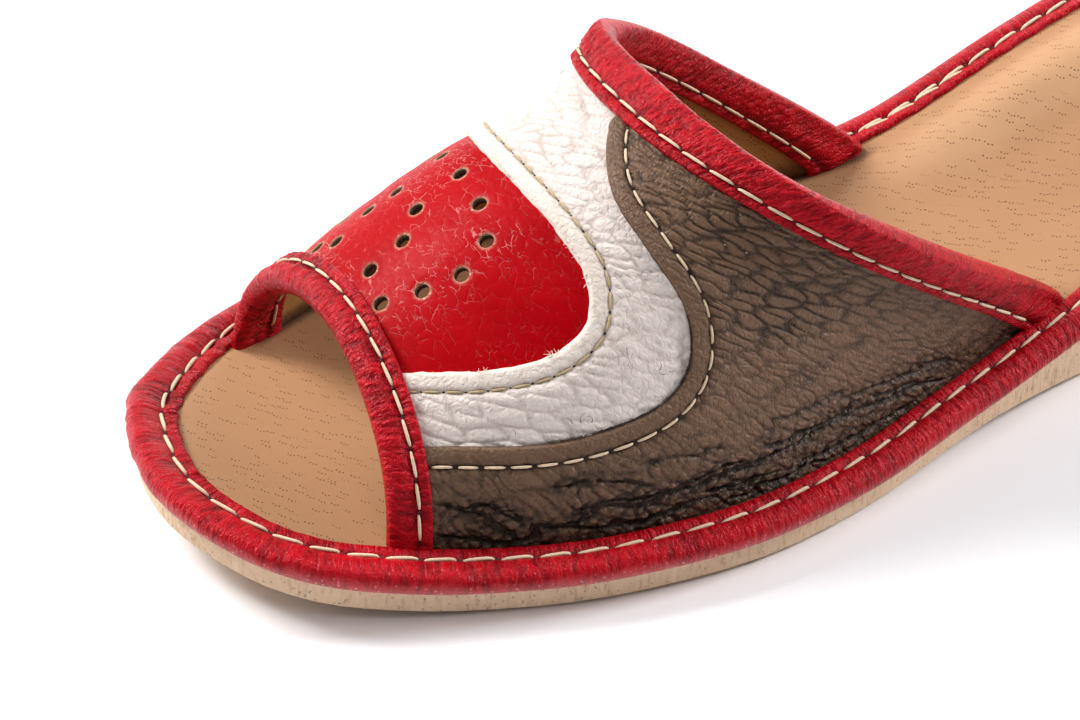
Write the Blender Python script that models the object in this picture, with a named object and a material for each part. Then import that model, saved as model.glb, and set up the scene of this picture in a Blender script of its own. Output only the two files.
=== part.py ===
"""Open-toed, backless leather slipper for the left foot, as separate closed solids.

Metres, +Z up. The toe points to -Y, the heel to +Y, the lateral (outer) side to +X. The origin lies
under the middle of the shoe's box, on the floor.
"""
import math

import bmesh
import bpy
import numpy as np

# Driving sizes, in metres
LENGTH = 0.255
BALL_WIDTH = 0.0919
SOLE_THICKNESS = 0.0042
HEEL_RISE = 0.0158
TOE_SPRING = 0.0061
WAIST_LIFT = 0.0015
SOLE_BEVEL = 0.0009
INSOLE_THICKNESS = 0.0034
ARCH_RIDGE_HEIGHT = 0.0030
RIM_WIDTH = 0.0052
RIM_TOE_WIDTH = 0.0068
RIM_HEIGHT = 0.0044
RIM_OVERHANG = 0.0013
INSTEP_HEIGHT = 0.0430
WALL = 0.0026
PANEL_STEP = 0.0005
FRONT_BINDING_WIDTH = 0.0067
THROAT_BINDING_WIDTH = 0.0088
BINDING_THICKNESS = 0.0009
CLEARANCE = 0.0003
SEAT_GAP = 0.0005
BINDING_GAP = 0.0005

# Places along the shoe, measured from the toe's tip as shares of the length
SPRING_START_SHARE = 0.176
WAIST_SHARES = (0.385, 0.605)
WEDGE_SHARES = (0.470, 0.765)
RIM_TAPER_SHARE = 0.22
RIDGE_SHARES = (0.48, 0.86)

# The ridge under the inner arch, as shares of the insole's width from its medial edge
RIDGE_MIDDLE_SHARE = 0.22
RIDGE_SPREAD_SHARE = 0.13
RIDGE_EASE_SHARE = 0.14

# The rolled rim's section, from its outer foot over the top to its inner foot.
# Columns: inset (share of the rim's width), overhang and height (shares of the rim's own)
RIM_SECTION = (
    (0.00, 0.0, 0.00),
    (0.00, 1.0, 0.38),
    (0.00, 0.0, 0.78),
    (0.36, 0.0, 1.00),
    (0.66, 0.0, 0.84),
    (1.00, 0.0, 0.58),
    (1.00, 0.0, 0.00),
)

# The sole's outline: how far it reaches to each side of the toe-to-heel line.
# Columns: station (share of length), medial reach, lateral reach (shares of ball width)
OUTLINE = (
    (0.020, 0.215, 0.177),
    (0.050, 0.302, 0.273),
    (0.100, 0.390, 0.351),
    (0.150, 0.439, 0.410),
    (0.200, 0.469, 0.461),
    (0.250, 0.483, 0.493),
    (0.300, 0.480, 0.511),
    (0.340, 0.464, 0.509),
    (0.400, 0.419, 0.486),
    (0.500, 0.336, 0.425),
    (0.580, 0.301, 0.385),
    (0.700, 0.310, 0.364),
    (0.820, 0.340, 0.353),
    (0.900, 0.305, 0.310),
    (0.950, 0.235, 0.238),
    (0.985, 0.137, 0.138),
)

# The upper is a loft through three arches that lean towards the toe.
# Columns: place (0 at the toe opening, 1 at the throat), lateral and medial foot and lean of the
# crest (shares of length), height (share of instep height), skew and flare (shares of ball width),
# shoulder and fullness (powers of the arch: under 1 is squarer)
ARCHES = (
    (0.0, 0.0990, 0.1140, 0.0160, 0.473, -0.037, -0.020, 1.04, 0.73),
    (0.5, 0.3400, 0.3367, -0.1010, 0.870, -0.053, -0.015, 0.88, 0.84),
    (1.0, 0.5745, 0.5553, -0.2160, 1.000, -0.054, 0.128, 0.66, 0.82),
)
LEAN_POWER = 1.1
FOOT_SHARES = (0.05, 0.70)

# Panels of the upper, to each side of the crest line.
# Columns: place between toe opening and throat, half width of the red panel, half width of the
# white band (shares of the way from the crest line down to the foot)
CREST_SHARE = 0.64
PANELS = (
    (0.00, 0.44, 0.66),
    (0.12, 0.51, 0.71),
    (0.22, 0.55, 0.74),
    (0.32, 0.56, 0.75),
    (0.41, 0.53, 0.74),
    (0.48, 0.46, 0.71),
    (0.52, 0.36, 0.67),
    (0.54, 0.00, 0.65),
    (0.60, 0.00, 0.56),
    (0.66, 0.00, 0.39),
    (0.74, 0.00, 0.25),
    (0.82, 0.00, 0.19),
    (1.00, 0.00, 0.19),
)
STEP_SHARE = 0.022

# A binding strip's section: how far its hem, its shoulders and its fold stand out, as shares
HEM_SHARE = 0.75
SHOULDER_SHARE = 0.85
INNER_SHOULDER_SHARE = 0.94
FOLD_SHARES = (0.35, 0.75)

# Mesh counts, and how finely curves are sampled
STATIONS = 56
ACROSS = 44
ALONG = 30
INSOLE_COLUMNS = 8
OUTLINE_SAMPLES = 900
FOOT_SAMPLES = 80
ANGLE_SAMPLES = 241
RUN_SAMPLES = 25
EVEN_PLACES = (0.1, 0.5, 0.9)
NORMAL_STEP = 0.006


def remove_all_objects():
    """Empty the scene that the script is opened in."""
    for thing in list(bpy.data.objects):
        bpy.data.objects.remove(thing, do_unlink=True)


def smoothstep(t):
    """Ease from 0 to 1 while t goes from 0 to 1."""
    t = np.clip(t, 0.0, 1.0)
    return t * t * (3.0 - 2.0 * t)


def closed_curve(points, count):
    """Points of a smooth closed curve through the given corner points (Catmull-Rom)."""
    knots = np.asarray(points, float)
    total = len(knots)
    gaps = [math.sqrt(np.linalg.norm(knots[(i + 1) % total] - knots[i])) for i in range(total)]
    samples = []
    for i in range(total):
        p0, p1, p2, p3 = (knots[(i + k) % total] for k in (-1, 0, 1, 2))
        d0, d1, d2 = gaps[i - 1], gaps[i], gaps[(i + 1) % total]
        m1 = (p1 - p0) / d0 - (p2 - p0) / (d0 + d1) + (p2 - p1) / d1
        m2 = (p2 - p1) / d1 - (p3 - p1) / (d1 + d2) + (p3 - p2) / d2
        for t in np.linspace(0.0, 1.0, count, endpoint=False):
            samples.append(
                (2 * t ** 3 - 3 * t ** 2 + 1) * p1
                + (t ** 3 - 2 * t ** 2 + t) * m1 * d1
                + (3 * t ** 2 - 2 * t ** 3) * p2
                + (t ** 3 - t ** 2) * m2 * d1
            )
    return np.array(samples)


def sole_bottom(y):
    """Height of the sole's underside at a distance y from the toe's tip."""
    spring = TOE_SPRING * np.clip(1.0 - y / (SPRING_START_SHARE * LENGTH), 0.0, 1.0) ** 2
    start, end = WAIST_SHARES
    waist = np.clip((y / LENGTH - start) / (end - start), 0.0, 1.0)
    return spring + WAIST_LIFT * np.sin(math.pi * waist) ** 2


def sole_top(y):
    """Height of the sole's upper face at a distance y from the toe's tip."""
    spring = TOE_SPRING * np.clip(1.0 - y / (SPRING_START_SHARE * LENGTH), 0.0, 1.0) ** 2
    lift = sole_bottom(y) - spring
    start, end = WEDGE_SHARES
    wedge = smoothstep((y / LENGTH - start) / (end - start))
    return spring + lift * (1.0 - wedge) + SOLE_THICKNESS + HEEL_RISE * wedge


def rim_width(y):
    """Width of the rolled rim, widest round the toe."""
    taper = smoothstep(1.0 - y / (RIM_TAPER_SHARE * LENGTH))
    return RIM_WIDTH + (RIM_TOE_WIDTH - RIM_WIDTH) * taper


class Footprint:
    """The sole's outline, with loops at any distance inside it.

    Every loop has the same count of points: index 0 at the toe, STATIONS at the heel, the medial
    side on the way out and the lateral side on the way back.
    """

    def __init__(self):
        medial = [(-m * BALL_WIDTH, s * LENGTH) for s, m, _ in OUTLINE]
        lateral = [(l * BALL_WIDTH, s * LENGTH) for s, _, l in reversed(OUTLINE)]
        points = [(0.0, 0.0)] + medial + [(0.0, LENGTH)] + lateral
        self.curve = closed_curve(points, OUTLINE_SAMPLES // len(points))
        ahead = np.roll(self.curve, -1, axis=0) - np.roll(self.curve, 1, axis=0)
        ahead /= np.linalg.norm(ahead, axis=1)[:, None]
        self.outward = np.stack([-ahead[:, 1], ahead[:, 0]], axis=-1)
        self.toe = int(np.argmin(self.curve[:, 1]))
        self.heel = int(np.argmax(self.curve[:, 1]))
        self.middle_x = (self.curve[:, 0].max() + self.curve[:, 0].min()) / 2
        self.places = self.station_places()

    def station_places(self):
        """Index along the dense curve of each loop point, as fractions."""
        count = len(self.curve)
        ys = LENGTH * (1.0 - np.cos(np.linspace(0.0, math.pi, STATIONS + 1))) / 2
        out_steps = (self.heel - self.toe) % count
        back_steps = count - out_steps
        out = np.arange(out_steps + 1)
        back = np.arange(back_steps + 1)
        out_y = self.curve[(self.toe + out) % count, 1]
        back_y = self.curve[(self.toe - back) % count, 1]
        first = self.toe + np.interp(ys, out_y, out)
        second = self.toe - np.interp(ys, back_y, back)
        return np.concatenate([first, second[-2:0:-1]])

    def loop(self, inset):
        """Loop of points at a distance inside the outline; inset may be a function of station."""
        depth = inset(self.curve[:, 1]) if callable(inset) else inset
        moved = self.curve - self.outward * np.asarray(depth).reshape(-1, 1)
        count = len(moved)
        low = np.floor(self.places).astype(int)
        part = (self.places - low)[:, None]
        return moved[low % count] * (1 - part) + moved[(low + 1) % count] * part

    def side_x(self, y, side, inset):
        """How far a loop reaches to one side (-1 medial, +1 lateral) at stations y."""
        points = self.loop(inset)
        if side < 0:
            chain = points[: STATIONS + 1]
        else:
            chain = np.concatenate([points[:1], points[:STATIONS - 1:-1]])
        order = np.argsort(chain[:, 1])
        return np.interp(y, chain[order, 1], chain[order, 0])


FOOT = Footprint()


def to_world(point):
    """Move a point from toe-based coordinates to the shoe's own frame."""
    return (point[0] - FOOT.middle_x, point[1] - LENGTH / 2, point[2])


def new_material(name, colour, roughness):
    """A plain finish with the part's own colour."""
    material = bpy.data.materials.new(name)
    material.use_nodes = True
    shader = material.node_tree.nodes["Principled BSDF"]
    shader.inputs["Base Color"].default_value = (*colour, 1.0)
    shader.inputs["Roughness"].default_value = roughness
    shader.inputs["Metallic"].default_value = 0.0
    material.diffuse_color = (*colour, 1.0)
    return material


def finish(mesh_data, name, material, collection, smooth_angle=40.0):
    """Turn a bmesh into a named object with outward faces and smooth shading."""
    bmesh.ops.recalc_face_normals(mesh_data, faces=mesh_data.faces)
    mesh = bpy.data.meshes.new(name)
    mesh_data.to_mesh(mesh)
    mesh_data.free()
    mesh.shade_smooth()
    mesh.set_sharp_from_angle(angle=math.radians(smooth_angle))
    mesh.materials.append(material)
    thing = bpy.data.objects.new(name, mesh)
    collection.objects.link(thing)
    return thing


def add_grid(mesh_data, rows, close_across=False):
    """Bridge rows of vertices into quads."""
    for near, far in zip(rows, rows[1:]):
        pairs = len(near) if close_across else len(near) - 1
        for i in range(pairs):
            k = (i + 1) % len(near)
            mesh_data.faces.new((near[i], near[k], far[k], far[i]))


def tube_between_ends(sections, name, material, collection, closed):
    """Loft a closed section along a path; an open path gets end faces."""
    mesh_data = bmesh.new()
    rows = [[mesh_data.verts.new(to_world(p)) for p in section] for section in sections]
    if closed:
        rows.append(rows[0])
    add_grid(mesh_data, rows, close_across=True)
    if not closed:
        for row in (rows[0], rows[-1]):
            mesh_data.faces.new(row)
    return finish(mesh_data, name, material, collection)


def slab(loops, name, material, collection, columns, top_height):
    """A sheet with the foot's outline: stacked loops, closed below and above by cross rows.

    loops holds (loop points, heights) from the bottom edge to the top edge. top_height gives the
    height inside the top loop, from x, y and the share of the way across.
    """
    mesh_data = bmesh.new()
    total = 2 * STATIONS
    rings = []
    for points, heights in loops:
        rings.append([
            mesh_data.verts.new(to_world((points[i][0], points[i][1], heights[i])))
            for i in range(total)
        ])
    for lower, upper in zip(rings, rings[1:]):
        for i in range(total):
            k = (i + 1) % total
            mesh_data.faces.new((lower[i], lower[k], upper[k], upper[i]))
    bottom_rows = [[rings[0][i], rings[0][total - i]] for i in range(1, STATIONS)]
    close_cap(mesh_data, bottom_rows, rings[0][0], rings[0][STATIONS])
    points = loops[-1][0]
    top_rows = []
    for i in range(1, STATIONS):
        left, right = points[i], points[total - i]
        row = [rings[-1][i]]
        for k in range(1, columns):
            share = k / columns
            x = left[0] + (right[0] - left[0]) * share
            y = left[1] + (right[1] - left[1]) * share
            row.append(mesh_data.verts.new(to_world((x, y, top_height(y, share)))))
        row.append(rings[-1][total - i])
        top_rows.append(row)
    close_cap(mesh_data, top_rows, rings[-1][0], rings[-1][STATIONS])
    return finish(mesh_data, name, material, collection)


def close_cap(mesh_data, rows, toe_vertex, heel_vertex):
    """Fill a cap from cross rows and fan it to the toe's and the heel's tip."""
    add_grid(mesh_data, rows)
    for tip, row in ((toe_vertex, rows[0]), (heel_vertex, rows[-1])):
        for near, far in zip(row, row[1:]):
            mesh_data.faces.new((tip, near, far))


def build_outsole(collection, material):
    """Foam sole: thin sheet under the forefoot, low wedge under the heel."""
    edge = FOOT.loop(0.0)
    inner = FOOT.loop(SOLE_BEVEL)
    loops = (
        (inner, sole_bottom(inner[:, 1])),
        (edge, sole_bottom(edge[:, 1]) + SOLE_BEVEL),
        (edge, sole_top(edge[:, 1])),
    )
    return slab(loops, "outsole", material, collection, 1, lambda y, share: sole_top(y))


def insole_top(y, share):
    """Height of the insole's face: level with the rim, raised in a ridge along the inner arch."""
    start, end = RIDGE_SHARES
    along = np.clip((y / LENGTH - start) / (end - start), 0.0, 1.0)
    bump = math.exp(-((share - RIDGE_MIDDLE_SHARE) / RIDGE_SPREAD_SHARE) ** 2)
    across = bump * smoothstep(share / RIDGE_EASE_SHARE)
    rise = ARCH_RIDGE_HEIGHT * math.sin(math.pi * along) ** 2 * across
    return sole_top(y) + INSOLE_THICKNESS + rise


def build_insole(collection, material):
    """Covered board that fills the ring of the rim."""
    edge = FOOT.loop(lambda y: rim_width(y) + CLEARANCE)
    below = sole_top(edge[:, 1])
    loops = ((edge, below + CLEARANCE), (edge, below + INSOLE_THICKNESS))
    return slab(loops, "insole", material, collection, INSOLE_COLUMNS, insole_top)


def rim_loop(inset, overhang):
    """Loop of the rim at a share of its width inside the outline, or of its overhang outside."""
    return FOOT.loop(lambda y: inset * rim_width(y) - overhang * RIM_OVERHANG)


def build_rim(collection, material):
    """Leather roll round the edge of the insole: flat below, round outside, low inside."""
    loops = [rim_loop(inset, overhang) for inset, overhang, _ in RIM_SECTION]
    heights = [max(height * RIM_HEIGHT, CLEARANCE) for _, _, height in RIM_SECTION]
    sections = []
    for i in range(2 * STATIONS):
        sections.append([
            (loop[i][0], loop[i][1], sole_top(loop[i][1]) + height)
            for loop, height in zip(loops, heights)
        ])
    return tube_between_ends(sections, "rim_binding", material, collection, closed=True)


def between_arches(place):
    """Sizes of the arch at a place between the toe opening and the throat, in metres."""
    a, b, c = (np.array(row[1:]) for row in ARCHES)
    row = (a * (1 - place) * (1 - 2 * place) + 4 * b * place * (1 - place)
           + c * place * (2 * place - 1))
    lateral, medial, lean, height, skew, flare, shoulder, fullness = row
    return (lateral * LENGTH, medial * LENGTH, lean * LENGTH, height * INSTEP_HEIGHT,
            skew * BALL_WIDTH, flare * BALL_WIDTH, shoulder, fullness)


def seat_height(y):
    """Height on which the upper's feet stand, just clear of the insole."""
    return sole_top(y) + INSOLE_THICKNESS + SEAT_GAP


def arch_by_angle(angle, place):
    """Point of the upper's outer form: angle 0 at the lateral foot, pi at the medial foot."""
    lateral, medial, lean, height, skew, flare, shoulder, fullness = between_arches(place)
    c = math.cos(angle)
    s = max(math.sin(angle), 0.0)
    wide = math.copysign(abs(c) ** shoulder, c)
    high = s ** fullness
    ground_y = lateral + (medial - lateral) * (1 - c) / 2
    right = np.interp(ground_y, FOOT_STATIONS, LATERAL_FOOT) - CLEARANCE
    left = np.interp(ground_y, FOOT_STATIONS, MEDIAL_FOOT) + CLEARANCE
    x = (left + right) / 2 + (right - left) / 2 * wide + skew * high + 2 * flare * s * c
    y = ground_y + lean * high ** LEAN_POWER
    return np.array((x, y, seat_height(ground_y) + height * high))


FOOT_STATIONS = np.linspace(FOOT_SHARES[0] * LENGTH, FOOT_SHARES[1] * LENGTH, FOOT_SAMPLES)
LATERAL_FOOT = FOOT.side_x(FOOT_STATIONS, 1, rim_width)
MEDIAL_FOOT = FOOT.side_x(FOOT_STATIONS, -1, rim_width)


def even_angles():
    """Angles that lie at even distances along the arches, with the shares they stand for."""
    angles = np.linspace(0.0, math.pi, ANGLE_SAMPLES)
    total = np.zeros(len(angles))
    for place in EVEN_PLACES:
        points = np.array([arch_by_angle(a, place) for a in angles])
        run = np.concatenate([[0.0], np.cumsum(np.linalg.norm(np.diff(points, axis=0), axis=1))])
        total += run / run[-1]
    return total / total[-1], angles


SHARES, ANGLES = even_angles()


def form(across, place):
    """Point of the upper's outer form: across runs from 0, lateral foot, to 1, medial foot."""
    return arch_by_angle(float(np.interp(across, SHARES, ANGLES)), place)


def form_normal(across, place):
    """Outward direction of the upper's outer form."""
    a, b = max(across - NORMAL_STEP, 0.0), min(across + NORMAL_STEP, 1.0)
    along = form(across, place + NORMAL_STEP) - form(across, place - NORMAL_STEP)
    over = form(b, place) - form(a, place)
    normal = np.cross(along, over)
    if across in (0.0, 1.0):
        normal[2] = 0.0
    return normal / np.linalg.norm(normal)


def place_at(across, distance, from_toe=True):
    """Place at a distance along the upper from the toe opening, or else from the throat."""
    start, end = (0.0, 1.0) if from_toe else (1.0, 0.0)
    places = np.linspace(start, end, RUN_SAMPLES)
    points = np.array([form(across, place) for place in places])
    run = np.concatenate([[0.0], np.cumsum(np.linalg.norm(np.diff(points, axis=0), axis=1))])
    return float(np.interp(distance, run, places))


def panel_depth(across, place):
    """How far the outer face lies below the brown panels: white one step down, red two."""
    if across < CREST_SHARE:
        way = (CREST_SHARE - across) / CREST_SHARE
    else:
        way = (across - CREST_SHARE) / (1.0 - CREST_SHARE)
    places, red, white = (np.array(column) for column in zip(*PANELS))
    red_edge = float(np.interp(place, places, red))
    white_edge = float(np.interp(place, places, white))
    in_red = float(smoothstep((red_edge - way) / STEP_SHARE + 0.5))
    in_white = float(smoothstep((white_edge - way) / STEP_SHARE + 0.5))
    return PANEL_STEP * (in_red + in_white)


def on_form(across, place, offset):
    """Point at an offset outside the upper's outer form, never below the feet's seat."""
    point = form(across, place) + form_normal(across, place) * offset
    if across in (0.0, 1.0):
        point[2] = form(across, place)[2]
    return point


def build_upper(collection, material):
    """The vamp: one hollow arch, open at the toe, the throat and underneath."""
    edge = BINDING_THICKNESS + BINDING_GAP
    mesh_data = bmesh.new()
    outer, inner = [], []
    for i in range(ACROSS + 1):
        across = i / ACROSS
        first, last = place_at(across, edge), place_at(across, edge, from_toe=False)
        outer_row, inner_row = [], []
        for k in range(ALONG + 1):
            place = first + (last - first) * k / ALONG
            depth = panel_depth(across, place)
            outer_row.append(mesh_data.verts.new(to_world(on_form(across, place, -depth))))
            inner_row.append(mesh_data.verts.new(to_world(on_form(across, place, -WALL))))
        outer.append(outer_row)
        inner.append(inner_row)
    add_grid(mesh_data, outer)
    add_grid(mesh_data, inner)
    for k in (0, -1):
        add_grid(mesh_data, [outer[k], inner[k]])
        add_grid(mesh_data, [[row[k] for row in outer], [row[k] for row in inner]])
    return finish(mesh_data, "upper", material, collection)


def binding_section(across, at_front):
    """Section of a strip folded over an edge of the upper, outside face first."""
    width = FRONT_BINDING_WIDTH if at_front else THROAT_BINDING_WIDTH
    middle = width / 2
    fold = BINDING_THICKNESS
    high = BINDING_GAP + BINDING_THICKNESS
    under = WALL + BINDING_GAP
    low = under + BINDING_THICKNESS
    points = (
        (width, HEM_SHARE * high),
        (middle, high),
        (fold, SHOULDER_SHARE * high),
        (0.0, -FOLD_SHARES[0] * WALL),
        (0.0, -FOLD_SHARES[1] * WALL),
        (fold, -INNER_SHOULDER_SHARE * low),
        (middle, -low),
        (width, -low),
        (width, -under),
        (middle, -under),
        (fold, -under),
    )
    section = [
        on_form(across, place_at(across, distance, from_toe=at_front), offset)
        for distance, offset in points
    ]
    for distance in (fold, middle, width):
        there = place_at(across, distance, from_toe=at_front)
        section.append(on_form(across, there, BINDING_GAP - panel_depth(across, there)))
    return section


def build_binding(name, at_front, collection, material):
    """Leather strip folded over the toe opening's or the throat's edge."""
    sections = [binding_section(i / ACROSS, at_front) for i in range(ACROSS + 1)]
    return tube_between_ends(sections, name, material, collection, closed=False)


def main():
    """Build every piece of the slipper in one collection."""
    remove_all_objects()
    collection = bpy.data.collections.new("slipper")
    bpy.context.scene.collection.children.link(collection)
    foam = new_material("beige_foam", (0.62, 0.50, 0.36), 0.85)
    pigskin = new_material("tan_pigskin", (0.58, 0.36, 0.20), 0.70)
    red = new_material("red_leather", (0.60, 0.02, 0.04), 0.40)
    brown = new_material("taupe_leather", (0.17, 0.11, 0.07), 0.55)
    build_outsole(collection, foam)
    build_insole(collection, pigskin)
    build_rim(collection, red)
    build_upper(collection, brown)
    build_binding("front_binding", True, collection, red)
    build_binding("throat_binding", False, collection, red)


main()
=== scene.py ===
"""Looks of an open-toed, backless leather slipper for the left foot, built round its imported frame.

Metres, +Z up. The toe points to -Y, the heel to +Y, the lateral (outer) side to +X.
The leather pieces are cut as flat grids and pulled over the same last as the frame's solids.
"""

import logging
import math
from contextlib import contextmanager
from dataclasses import dataclass, field
from enum import Enum
from typing import Iterator

import bpy
import numpy as np
from mathutils import Matrix, Vector, kdtree


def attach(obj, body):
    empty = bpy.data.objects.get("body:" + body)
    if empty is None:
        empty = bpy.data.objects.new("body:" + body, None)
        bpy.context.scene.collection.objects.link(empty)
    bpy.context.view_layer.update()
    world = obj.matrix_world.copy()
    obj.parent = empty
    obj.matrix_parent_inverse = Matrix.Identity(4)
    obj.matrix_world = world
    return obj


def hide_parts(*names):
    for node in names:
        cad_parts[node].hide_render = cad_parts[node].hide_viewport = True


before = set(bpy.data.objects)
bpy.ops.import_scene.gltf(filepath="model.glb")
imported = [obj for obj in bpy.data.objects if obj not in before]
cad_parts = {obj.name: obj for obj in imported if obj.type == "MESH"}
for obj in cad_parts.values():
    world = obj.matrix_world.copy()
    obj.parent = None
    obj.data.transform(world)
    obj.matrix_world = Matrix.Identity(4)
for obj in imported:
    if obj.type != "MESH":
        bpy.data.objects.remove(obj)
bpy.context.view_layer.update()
LOG = logging.getLogger("slipper")

MM = 0.001
ROOT = "root"
Colour = tuple[float, float, float]
Array = np.ndarray
Piece = bpy.types.Object
Material = bpy.types.Material
Tree = bpy.types.NodeTree
Node = bpy.types.Node
Socket = bpy.types.NodeSocket


class Slot(Enum):
    """The record's material slots; the pieces made here don't take them."""

    PIGSKIN = "pigskin"
    RED = "red_leather"
    VAMP = "vamp_leather"


class Side(Enum):
    """Sides of the shoe: the outer one faces the camera."""

    LATERAL = 0
    MEDIAL = 1


class Opening(Enum):
    """The vamp's two bound edges."""

    TOE = "front_binding"
    THROAT = "throat_binding"


def smoothstep(value: Array, low: float = 0.0, high: float = 1.0) -> Array:
    """Ease from 0 to 1 while value goes from low to high."""
    t = np.clip((np.asarray(value, float) - low) / (high - low), 0.0, 1.0)
    return t * t * (3.0 - 2.0 * t)


def bell(value: Array, width: float) -> Array:
    """A soft bump of height 1 round zero."""
    return np.exp(-((value / width) ** 2))


def lattice(ix: Array, iy: Array, seed: int) -> Array:
    """Fixed pseudo-random numbers from 0 to 1, one for each lattice point."""
    mixed = (ix.astype(np.int64) * 374761393 + iy.astype(np.int64) * 668265263 + seed * 144269504)
    mixed &= 0xFFFFFFFF
    mixed = ((mixed ^ (mixed >> 13)) * 1274126177) & 0xFFFFFFFF
    return ((mixed ^ (mixed >> 16)) & 0xFFFF) / 65535.0


def soft_noise(x: Array, y: Array, seed: int) -> Array:
    """Smooth noise from 0 to 1 with one lump per unit.

    Args:
        x: First coordinate.
        y: Second coordinate.
        seed: Which of the fixed noises.

    Returns:
        The noise at each point.
    """
    ix, iy = np.floor(x), np.floor(y)
    fx, fy = x - ix, y - iy
    fx = fx * fx * fx * (fx * (fx * 6 - 15) + 10)
    fy = fy * fy * fy * (fy * (fy * 6 - 15) + 10)
    low = lattice(ix, iy, seed) * (1 - fx) + lattice(ix + 1, iy, seed) * fx
    high = lattice(ix, iy + 1, seed) * (1 - fx) + lattice(ix + 1, iy + 1, seed) * fx
    return low * (1 - fy) + high * fy


def pebbles(x: Array, y: Array, seed: int) -> Array:
    """Leather pebbles with one cell per unit: 0 in the seams between them, rising inwards.

    Args:
        x: First coordinate.
        y: Second coordinate.
        seed: Which of the fixed patterns.

    Returns:
        How far each point is from the nearest seam.
    """
    ix, iy = np.floor(x), np.floor(y)
    near = np.full(np.shape(x), 9.0)
    second = near.copy()
    for dx in (-1, 0, 1):
        for dy in (-1, 0, 1):
            px = ix + dx + 0.15 + 0.7 * lattice(ix + dx, iy + dy, seed)
            py = iy + dy + 0.15 + 0.7 * lattice(ix + dx, iy + dy, seed + 7)
            reach = np.hypot(px - x, py - y)
            second = np.minimum(second, np.maximum(near, reach))
            near = np.minimum(near, reach)
    return second - near


def turned(x: Array, y: Array, degrees: float) -> tuple[Array, Array]:
    """Coordinates turned by an angle."""
    c, s = math.cos(math.radians(degrees)), math.sin(math.radians(degrees))
    return x * c + y * s, y * c - x * s


def smooth_path(points: Array, count: int, closed: bool = False) -> Array:
    """Points at even steps of the knots along a smooth curve through them (Catmull-Rom).

    Args:
        points: The knots, one per row.
        count: How many points to return.
        closed: Whether the curve returns to its first knot.

    Returns:
        The points, one per row.
    """
    knots = np.asarray(points, float)
    total = len(knots)
    if closed:
        at = np.linspace(0.0, total, count, endpoint=False)
        index = np.floor(at).astype(int)
        p0, p1, p2, p3 = (knots[(index + k) % total] for k in (-1, 0, 1, 2))
    else:
        at = np.linspace(0.0, total - 1.0, count)
        index = np.minimum(np.floor(at).astype(int), total - 2)
        p0, p1, p2, p3 = (knots[np.clip(index + k, 0, total - 1)] for k in (-1, 0, 1, 2))
    t = (at - index)[:, None]
    return 0.5 * (2 * p1 + (p2 - p0) * t + (2 * p0 - 5 * p1 + 4 * p2 - p3) * t ** 2
                  + (3 * p1 - p0 - 3 * p2 + p3) * t ** 3)


def run_along(points: Array) -> Array:
    """Distance from the first point along a line of points."""
    steps = np.linalg.norm(np.diff(points, axis=0), axis=1)
    return np.concatenate([[0.0], np.cumsum(steps)])


def resample(values: Array, run: Array, at: Array) -> Array:
    """Rows of values read at distances along a run."""
    return np.stack([np.interp(at, run, column) for column in values.T], axis=-1)


def unit(vectors: Array) -> Array:
    """Vectors of length one."""
    return vectors / np.maximum(np.linalg.norm(vectors, axis=-1, keepdims=True), 1e-12)


# The sole's outline: how far it reaches to each side of the toe-to-heel line.
# Columns: station (share of length), medial reach, lateral reach (shares of ball width)
OUTLINE = (
    (0.020, 0.215, 0.177), (0.050, 0.302, 0.273), (0.100, 0.390, 0.351), (0.150, 0.439, 0.410),
    (0.200, 0.469, 0.461), (0.250, 0.483, 0.493), (0.300, 0.480, 0.511), (0.340, 0.464, 0.509),
    (0.400, 0.419, 0.486), (0.500, 0.336, 0.425), (0.580, 0.301, 0.385), (0.700, 0.310, 0.364),
    (0.820, 0.340, 0.353), (0.900, 0.305, 0.310), (0.950, 0.235, 0.238), (0.985, 0.137, 0.138),
)

# Arches of the upper, leaning towards the toe.
# Columns: lateral and medial foot and lean of the crest (shares of length), height (share of
# instep height), skew and flare (shares of ball width), shoulder and fullness (powers)
ARCHES = np.array((
    (0.0990, 0.1140, 0.0160, 0.473, -0.037, -0.020, 1.04, 0.73),
    (0.3400, 0.3367, -0.1010, 0.870, -0.053, -0.015, 0.88, 0.84),
    (0.5745, 0.5553, -0.2160, 1.000, -0.054, 0.128, 0.66, 0.82),
))


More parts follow.
